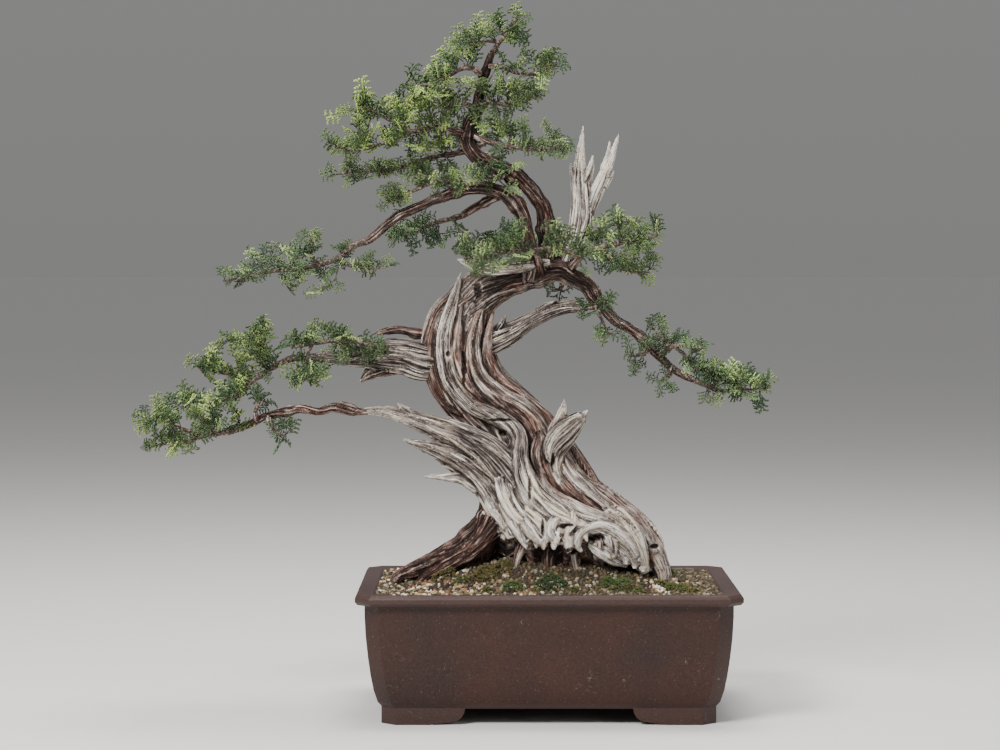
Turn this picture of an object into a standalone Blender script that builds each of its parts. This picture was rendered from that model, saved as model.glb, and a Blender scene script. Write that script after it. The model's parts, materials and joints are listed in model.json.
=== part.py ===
"""A California juniper bonsai in its rectangular stoneware pot.

Lengths are millimetres from the pot's middle, at the height of its feet, until make_node turns them
into metres. +X is to the right, +Y away from the front and +Z up.
"""

import math
import random

import bmesh
import bpy
from mathutils import Vector, noise
from mathutils.bvhtree import BVHTree
from mathutils.geometry import intersect_point_tri_2d, tessellate_polygon
from mathutils.kdtree import KDTree

# Pot
LIP_LENGTH, LIP_DEPTH = 374.0, 282.0  # over the lip
LIP_HEIGHT = 11.0
LIP_OVERHANG = 9.0
RIM_WIDTH = 19.0
POT_HEIGHT = 127.7
FLOOR_TOP, FLOOR_BOTTOM = 26.0, 16.0
CORNER_CUT = 14.0  # how far each corner is cut along both sides
FOOT_INSET = 24.5  # from the lip's outermost line
FOOT_WIDTH = 16.0  # how far a foot reaches in under the pot
DRAIN_SPACING, DRAIN_RADIUS = 150.0, 11.0
SCREEN_SIDE, SCREEN_THICK, SCREEN_HOLE = 36.0, 1.2, 7.0
# The inside wall from the rim down, as (inset from the lip, height)
INSIDE = ((RIM_WIDTH, POT_HEIGHT - 2.6), (RIM_WIDTH + 3.5, 70.0), (RIM_WIDTH + 9.0, 34.0), (RIM_WIDTH + 16.0, FLOOR_TOP))

# Soil
SOIL_EDGE = 124.4  # height along the rim
SOIL_MOUND = 29.0  # how much higher it is under the trunk
GAP = 0.3  # between pieces that touch

# Tree
TRUNK_SIDES = 21
TRUNK_FLUTES = 7
SHOOT_THICK = 1.35  # half the thickness of a shoot at its root
SHOOT_SHARE = 0.52  # share of the drawn shoot counts that is grown
ROOT_LENGTH = 2.8  # how far from its start a shoot is thickest
CLEARANCE = 0.8  # between a shoot and any other piece
LIMB_STEP = 17.0  # length of a limb's straight stretches

# The tree is drawn at life size on an upright sheet through the pot's middle. A place on the sheet is
# (across, down, back): from the sheet's left edge, from its top edge, and behind the sheet.
SHEET_MIDDLE, SHEET_FOOT = 547.4, 708.7  # where the pot's middle and the bottom of its feet are
EYE = Vector((-47.4, -2935.0, 452.7))  # where the sheet is looked at from


def drawn(across, down, back=0.0):
    """A place on the sheet, slid back along the line of sight, so that it still looks as drawn."""
    on_sheet = Vector((across - SHEET_MIDDLE, 0.0, SHEET_FOOT - down))
    return EYE + (on_sheet - EYE) * (1.0 - back / EYE.y)


# Materials and objects


def material(name, colour, roughness):
    made = bpy.data.materials.new(name)
    made.use_nodes = True
    shader = made.node_tree.nodes["Principled BSDF"]
    shader.inputs["Base Color"].default_value = (*colour, 1.0)
    shader.inputs["Roughness"].default_value = roughness
    shader.inputs["Metallic"].default_value = 0.0
    return made


def new_object(name, bm, link=True):
    """An object that holds the bmesh, its faces turned outwards."""
    bmesh.ops.recalc_face_normals(bm, faces=bm.faces)
    mesh = bpy.data.meshes.new(name)
    bm.to_mesh(mesh)
    bm.free()
    made = bpy.data.objects.new(name, mesh)
    if link:
        bpy.context.scene.collection.objects.link(made)
    return made


def remove(objects):
    for item in list(objects):
        bpy.data.objects.remove(item, do_unlink=True)


def apply_boolean(base, others, operation, solver="EXACT"):
    """Applies one Boolean with all the others, which are then removed."""
    tools = bpy.data.collections.new("Tools")
    bpy.context.scene.collection.children.link(tools)
    for item in others:
        bpy.context.scene.collection.objects.unlink(item)
        tools.objects.link(item)
    boolean = base.modifiers.new("Boolean", "BOOLEAN")
    boolean.operation = operation
    boolean.operand_type = "COLLECTION"
    boolean.collection = tools
    boolean.solver = solver
    bpy.context.view_layer.update()
    graph = bpy.context.evaluated_depsgraph_get()
    result = bpy.data.meshes.new_from_object(base.evaluated_get(graph))
    base.modifiers.clear()
    base.data = result
    remove(tools.objects)
    bpy.data.collections.remove(tools)


def shells(bm):
    """The groups of faces that hang together."""
    left = set(bm.faces)
    while left:
        shell, todo = [], [left.pop()]
        while todo:
            face = todo.pop()
            shell.append(face)
            for edge in face.edges:
                for other in edge.link_faces:
                    if other in left:
                        left.remove(other)
                        todo.append(other)
        yield shell


def keep_one_body(item):
    """Fills the hollows that fusing sealed and drops loose scrap: only the largest shell stays."""
    bm = bmesh.new()
    bm.from_mesh(item.data)
    found = sorted(shells(bm), key=len)
    for shell in found[:-1]:
        bmesh.ops.delete(bm, geom=shell, context="FACES")
    bm.to_mesh(item.data)
    bm.free()


def make_node(item, finish):
    """Turns a finished solid into metres, smooths its shading and gives it its material."""
    item.data.transform(item.matrix_world)
    item.matrix_world.identity()
    for vertex in item.data.vertices:
        vertex.co *= 0.001
    item.data.materials.clear()
    item.data.materials.append(finish)
    item.data.shade_smooth()
    item.data.set_sharp_from_angle(angle=math.radians(40))


# Pot


def cut_rectangle(half_length, half_depth, cut, height):
    """The eight corners of a rectangle with its corners cut off."""
    length, depth = half_length - cut, half_depth - cut
    corners = (
        (half_length, -depth), (half_length, depth), (length, half_depth), (-length, half_depth),
        (-half_length, depth), (-half_length, -depth), (-length, -half_depth), (length, -half_depth),
    )
    return [Vector((x, y, height)) for x, y in corners]


def loft(rings, closed=False):
    """A solid through the rings: capped at both ends, or running back into its first ring."""
    bm = bmesh.new()
    loops = [[bm.verts.new(point) for point in ring] for ring in rings]
    pairs = list(zip(loops, loops[1:]))
    if closed:
        pairs.append((loops[-1], loops[0]))
    else:
        bm.faces.new(loops[0])
        bm.faces.new(loops[-1])
    for low, high in pairs:
        for i in range(len(low)):
            bm.faces.new((low[i - 1], low[i], high[i], high[i - 1]))
    return bm


def pot_ring(inset, height):
    """The pot's outline, inset from the lip's outermost line."""
    return cut_rectangle(LIP_LENGTH / 2 - inset, LIP_DEPTH / 2 - inset, CORNER_CUT, height)


def pot_wall():
    """The pot's body: up the outside, over the rolled lip and down the inside to the floor."""
    top, lip, rim = POT_HEIGHT, POT_HEIGHT - LIP_HEIGHT, RIM_WIDTH
    outside = ((25, FLOOR_BOTTOM), (21, 21), (17.2, 33), (14.6, 47), (12, 66), (10, 86), (LIP_OVERHANG, 106))
    over = ((LIP_OVERHANG, lip), (2.5, lip + 0.5), (0, lip + 3.5), (0, top - 3.5), (2.5, top), (rim - 2, top - 0.8))
    return loft([pot_ring(inset, height) for inset, height in outside + over + INSIDE])


def foot_band():
    """A band under the body's edge, from which the four feet are cut."""
    corners = []
    top, inner = FLOOR_BOTTOM + 1.5, FOOT_INSET + FOOT_WIDTH
    for inset, height in ((FOOT_INSET, 0), (FOOT_INSET, top), (inner, top), (inner, 0)):
        corners.append(pot_ring(inset, height))
    return loft(corners, closed=True)


def foot_gap(flat, shoulder, turned):
    """The space between two feet: an arch from their flat soles up to the body, drawn across the pot."""
    side = ((flat, -1.0), (flat, 0.4), (flat - 12, 1.5), (shoulder + 8, 3.8), (shoulder + 3.5, 7.0),
            (shoulder + 1.0, 11.5), (shoulder, FLOOR_BOTTOM))
    arch = [(x, z) for x, z in side] + [(-x, z) for x, z in reversed(side)]
    reach = LIP_LENGTH
    ends = [[Vector((x, y, z)) for x, z in arch] for y in (-reach, reach)]
    if turned:
        ends = [[Vector((p.y, p.x, p.z)) for p in end] for end in ends]
    return loft(ends)


def disc(x, y, radius, low, high, sides=16):
    turn = 2 * math.pi / sides
    return loft([
        [Vector((x + radius * math.cos(i * turn), y + radius * math.sin(i * turn), z)) for i in range(sides)]
        for z in (low, high)
    ])


def make_pot():
    pot = new_object("pot", pot_wall())
    feet = new_object("feet", foot_band())
    apply_boolean(feet, [
        new_object("long_gap", foot_gap(115, 81, False)), new_object("short_gap", foot_gap(76, 50, True)),
    ], "DIFFERENCE")
    apply_boolean(pot, [feet], "UNION")
    apply_boolean(pot, [
        new_object("drain", disc(side * DRAIN_SPACING / 2, 0, DRAIN_RADIUS, FLOOR_BOTTOM - 2, FLOOR_TOP + 2))
        for side in (-1, 1)
    ], "DIFFERENCE")
    make_node(pot, material("unglazed_stoneware", (0.07, 0.032, 0.028), 0.55))


def block(x, y, half, low, high):
    return loft([
        [Vector((x + i * half, y + j * half, z)) for i, j in ((-1, -1), (1, -1), (1, 1), (-1, 1))]
        for z in (low, high)
    ])


def make_screens():
    """The mesh squares over the drainage holes."""
    finish = material("black_mesh", (0.02, 0.02, 0.02), 0.5)
    low = FLOOR_TOP + GAP
    for name, side in (("left", -1), ("right", 1)):
        x = side * DRAIN_SPACING / 2
        plate = new_object("drain_screen_" + name, block(x, 0, SCREEN_SIDE / 2, low, low + SCREEN_THICK))
        pitch = SCREEN_SIDE / 3.4
        holes = [
            new_object("hole", block(x + i * pitch, j * pitch, SCREEN_HOLE / 2, low - 1, low + SCREEN_THICK + 1))
            for i in (-0.5, 0.5) for j in (-0.5, 0.5)
        ]
        apply_boolean(plate, holes, "DIFFERENCE")
        make_node(plate, finish)


# Limbs of the tree


def smooth_path(points, step):
    """Points about a step apart on a smooth curve through the given ones, each a tuple of numbers."""
    ends = [points[0]] + list(points) + [points[-1]]
    path = []
    for before, start, end, after in zip(ends, ends[1:], ends[2:], ends[3:]):
        cuts = max(1, round(math.dist(start[:3], end[:3]) / step))
        for i in range(cuts):
            t = i / cuts
            path.append(tuple(
                0.5 * (2 * b + (c - a) * t + (2 * a - 5 * b + 4 * c - d) * t * t + (3 * b - a - 3 * c + d) * t ** 3)
                for a, b, c, d in zip(before, start, end, after)
            ))
    path.append(points[-1])
    return path


def along(centres):
    """The direction of travel at each centre."""
    last = len(centres) - 1
    return [(centres[min(i + 1, last)] - centres[max(i - 1, 0)]).normalized() for i in range(last + 1)]


def end_way(path):
    """The direction that a limb's end cap faces."""
    return along([drawn(*place[:3]) for place in smooth_path(path, LIMB_STEP)])[-1]


def spine(path, step=LIMB_STEP, facing=None):
    """The centres of a limb's rings, and half its thickness at each.

    facing starts the limb a gap away from the cap of another one, and takes it straight out of there.
    """
    places = smooth_path(path, step)
    centres = [drawn(*place[:3]) for place in places]
    thicks = [place[3] for place in places]
    if facing:
        thicks.insert(0, thicks[0])
        centres = [centres[0] + facing * GAP, centres[0] + facing * (1.0 + 1.7 * thicks[0])] + centres[1:]
    return centres, thicks


def limb(path, sides=7, step=LIMB_STEP, flutes=0, depth=0.0, flat=1.0, grow=0.0, facing=None):
    """A tapering limb through drawn places (across, down, back, half thickness).

    flat is its half thickness from front to back as a share of the drawn one, flutes and depth give it
    ridges that wind slowly round it, and grow makes it fatter and longer.
    """
    centres, thicks = spine(path, step, facing)
    ways = along(centres)
    if facing:
        ways[0] = facing
    centres[0] -= ways[0] * grow
    centres[-1] += ways[-1] * grow
    side = ways[0].cross(Vector((0, 1, 0)))
    if side.length < 0.3:
        side = ways[0].cross(Vector((0, 0, 1)))
    rings = []
    for n, (centre, way, thick) in enumerate(zip(centres, ways, thicks)):
        side = (side - way * side.dot(way)).normalized()
        across = way.cross(side)
        ring = []
        for i in range(sides):
            angle = 2 * math.pi * i / sides
            ridge = 1.0 + depth * math.cos(flutes * angle + 0.25 * n)
            ring.append(centre + side * (math.cos(angle) * (thick * ridge + grow))
                        + across * (math.sin(angle) * (thick * flat * ridge + grow)))
        rings.append(ring)
    return loft(rings)


def fuse(name, pieces):
    """One closed body made of overlapping pieces."""
    body, *others = [new_object(name if i == 0 else "piece", bm) for i, bm in enumerate(pieces)]
    if others:
        apply_boolean(body, others, "UNION", solver="MANIFOLD")
    keep_one_body(body)
    return body


# Roots end in the soil, at the sheet's lower places.
ROOTS = [
    [(508, 498, -12, 18), (490, 522, -16, 16), (466, 545, -18, 13), (440, 558, -18, 10), (414, 570, -16, 7.5),
     (398, 578, -14, 6), (391, 594, -12, 5)],
    [(500, 510, -20, 16), (486, 534, -24, 15), (468, 553, -26, 11), (446, 567, -24, 8), (424, 580, -20, 6),
     (412, 598, -18, 5)],
    [(498, 505, 5, 18), (490, 540, 0, 16), (484, 570, -2, 13), (482, 606, -2, 10)],
    [(596, 508, -12, 24), (628, 530, -20, 20), (650, 550, -26, 14), (660, 567, -28, 10), (664, 584, -28, 7),
     (667, 604, -28, 5)],
    [(596, 512, 16, 24), (636, 541, 28, 16), (658, 566, 34, 11), (676, 604, 38, 8)],
    [(560, 510, 26, 44), (560, 548, 34, 36), (562, 606, 36, 26)],
    [(520, 510, 34, 28), (506, 548, 54, 18), (494, 602, 68, 11)],
    [(556, 528, -30, 16), (550, 558, -44, 9), (546, 604, -46, 6)],
]

# The trunk's own column, from its foot up to the fork.
COLUMN = [(564, 548, 0, 100), (563, 536, 0, 97), (563, 520, 0, 88), (556, 500, 0, 69), (543, 477, 0, 51),
          (531, 452, 0, 41.5), (511, 425, 0, 37), (484, 401, 0, 36), (465, 377, 0, 37), (457, 350, 0, 35.5),
          (460, 325, 0, 33), (469, 305, 0, 27), (479, 289, 0, 21)]

# Live wood above the fork: the right limb with its hanging end, the leader and the arch.
RIGHT_LIMB = [(462, 318, 0, 20), (482, 297, 0, 19), (503, 286, 0, 14), (522, 281, 0, 12.5), (542, 274, 0, 12.5),
              (558, 270, 0, 11.5), (574, 278, 2, 9.5), (588, 287, 2, 8.5), (598, 301, 0, 7.2), (611, 316, 0, 6),
              (626, 326, 0, 5.4), (640, 336, 0, 5), (652, 350, 0, 4.8), (667, 363, 0, 4.3), (681, 374, 0, 3.7),
              (695, 380, 0, 3.2)]
LEADER = [(536, 282, 2, 11), (548, 262, 4, 12.5), (548, 240, 4, 10.5), (542, 207, 2, 8.5), (528, 186, 0, 8.5),
          (511, 174, 0, 8.5), (493, 166, 0, 8.5), (478, 157, 0, 8.5), (469, 143, 0, 8), (471, 125, 0, 7.5),
          (476, 108, 0, 6.5), (479, 95, 0, 5.5), (484, 78, 0, 4.5), (489, 64, 0, 3.8), (492, 54, 0, 3)]
ARCH = [(530, 280, -6, 10), (531, 258, -12, 9), (526, 232, -16, 8), (520, 211, -16, 7.6), (506, 195, -14, 7.2),
        (485, 188, -12, 6.6), (462, 191, -12, 6), (440, 198, -12, 5.5), (420, 206, -12, 5), (400, 216, -12, 5),
        (385, 227, -12, 4.6), (375, 236, -12, 4.2), (368, 241, -12, 3.8)]
LEFT_LIMB = [(446, 363, -5, 21), (424, 362, -8, 19), (405, 357, -8, 16), (388, 356, -8, 14), (372, 355, -8, 11),
             (356, 356, -8, 8), (342, 358, -8, 6.2), (322, 357, -8, 5), (304, 357, -8, 4)]
LOW_LEFT_LIMB = [(384, 411, -20, 4), (364, 411, -18, 3.8), (350, 409, -16, 5.2), (335, 408, -16, 5.6),
                 (318, 412, -14, 4), (300, 409, -14, 4.5), (282, 412, -14, 4.4), (262, 418, -14, 4.2),
                 (248, 425, -14, 3.8), (238, 429, -14, 3.5)]
BACK_LIMB = [(502, 193, -12, 6), (488, 200, 6, 4.4), (474, 208, 18, 3.8), (462, 216, 24, 3.2)]

# Bare deadwood: blades of the fan at the left, the horn, the grey branch at the right, the upright fork.
FAN = [
    [(536, 520, -44, 24), (516, 488, -40, 24), (492, 460, -36, 21), (465, 441, -34, 16), (438, 429, -32, 12),
     (412, 419, -28, 9), (388, 412, -24, 6), (366, 411, -19, 3.6)],
    [(520, 535, -46, 16), (504, 500, -42, 17), (482, 474, -38, 14), (456, 457, -38, 10), (430, 447, -38, 6.5),
     (414, 443, -38, 4), (402, 439, -38, 1)],
    [(512, 530, -34, 16), (498, 505, -30, 14), (478, 484, -30, 9), (456, 469, -30, 5.5), (434, 459, -30, 1)],
    [(478, 486, -34, 7), (458, 477, -36, 4.5), (442, 477.5, -38, 2.2), (425, 477, -38, 0.8)],
    [(424, 424, -30, 8), (408, 412, -28, 4), (397, 403, -28, 0.8)],
    [(478, 447, -30, 14), (462, 432, -28, 7), (447, 418, -26, 3)],
]
HORN = [
    [(540, 444, -26, 17), (556, 431, -36, 14), (569, 424, -42, 10), (578, 417, -45, 6), (586, 411.5, -46, 1.6)],
    [(560, 428, -38, 8), (563, 413, -40, 4.2), (565, 400, -41, 1)],
    [(566, 428, -40, 8), (576, 420, -44, 5), (585, 417.5, -47, 1.6)],
    [(548, 440, -30, 12), (552, 458, -38, 8), (549, 476, -44, 5)],
]
GREY_BRANCH = [
    [(478, 348, 0, 14), (497, 338, 0, 13.5), (513, 331, 0, 10), (530, 321, 0, 8.5), (548, 312, 0, 8),
     (566, 307, 0, 6.8), (584, 306.5, 0, 5.6)],
    [(494, 336, -3, 7), (501, 325, -5, 4), (506.5, 315, -6, 0.9)],
    [(536, 316, -2, 5), (547, 305, -4, 3), (557.5, 299.5, -5, 0.8)],
    [(500, 345, 0, 6), (512, 342, 0, 4), (523, 337, -1, 1)],
]
UPRIGHT_FORK = [
    [(560, 270, 10, 9), (574, 245, 8, 11), (581, 222, 6, 12), (582, 200, 4, 11), (580, 178, 4, 8.5),
     (580, 158, 4, 5), (583, 126, 4, 0.9)],
    [(585, 215, 4, 8), (595, 195, 2, 7), (604, 175, 0, 5.5), (611, 157, -1, 4), (619, 133, -2, 0.8)],
    [(580, 190, 6, 7), (574, 177, 6, 4), (570, 163, 6, 0.8)],
    [(584, 184, 2, 6), (590, 170, 0, 3.4), (593, 155, 0, 0.8)],
    [(604, 170, 0, 4), (608, 155, 1, 2.2), (609, 141, 2, 0.7)],
    [(604, 186, 0, 4), (610, 178, 0, 2.2), (614, 171, 0, 0.8)],
]
LEFT_STUBS = [
    [(404, 366, -6, 8), (382, 375, -6, 5), (359, 381, -6, 1.2)],
    [(436, 336, 6, 6), (412, 333, 8, 4.6), (394, 330, 9, 4), (376, 334, 10, 2.4)],
]

# Ridges that stand out of the trunk's face: the pale ribbon, the red vein, and the tongues at its foot.
RIDGES = [
    [(449, 296, -16, 4), (443, 320, -26, 6), (441, 350, -29, 7), (449, 382, -30, 7), (470, 404, -32, 7),
     (497, 417, -34, 7), (516, 436, -37, 6), (524, 466, -46, 7), (540, 500, -60, 8), (575, 530, -70, 8)],
    [(472, 318, -22, 6), (470, 350, -28, 8), (476, 378, -28, 8), (497, 397, -28, 9), (526, 417, -28, 10),
     (548, 452, -30, 12), (572, 484, -38, 14), (610, 512, -48, 14), (640, 536, -44, 12)],
    [(488, 330, -20, 7), (484, 358, -22, 6), (498, 380, -20, 6), (522, 398, -16, 6), (548, 420, -12, 8),
     (568, 448, -10, 10), (588, 480, -14, 11), (612, 502, -20, 9)],
    [(530, 505, -54, 9), (522, 530, -62, 6), (527, 549, -64, 2)],
    [(552, 512, -60, 10), (556, 536, -68, 7), (578, 553, -66, 3)],
    [(600, 520, -58, 10), (604, 540, -64, 8), (620, 560, -60, 5)],
]

# Hollows cut back into the wood: the V below the fork, a knot hole and the cave under the foot.
HOLLOWS = [
    [(474, 262, -34, 8), (476, 282, -26, 7.5), (480, 303, -30, 2.5)],
    [(506, 434, -60, 4), (506, 434, -26, 3.5)],
    [(566, 527, -92, 3.5), (566, 527, -56, 3)],
    [(592, 537, -92, 5), (590, 536, -52, 4)],
]


# Foliage


def spray(name, stem, core, outline, reach, shoots, forks=()):
    """A spray of shoots.

    stem is the wood that carries it, part of the trunk, and core its own twig from the stem's end on.
    outline is where its shoots are on the sheet, and reach how far they spread to the front and back.
    """
    return {"name": "foliage_" + name, "stem": stem, "core": core, "outline": outline, "reach": reach,
            "shoots": shoots, "forks": forks}


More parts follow.
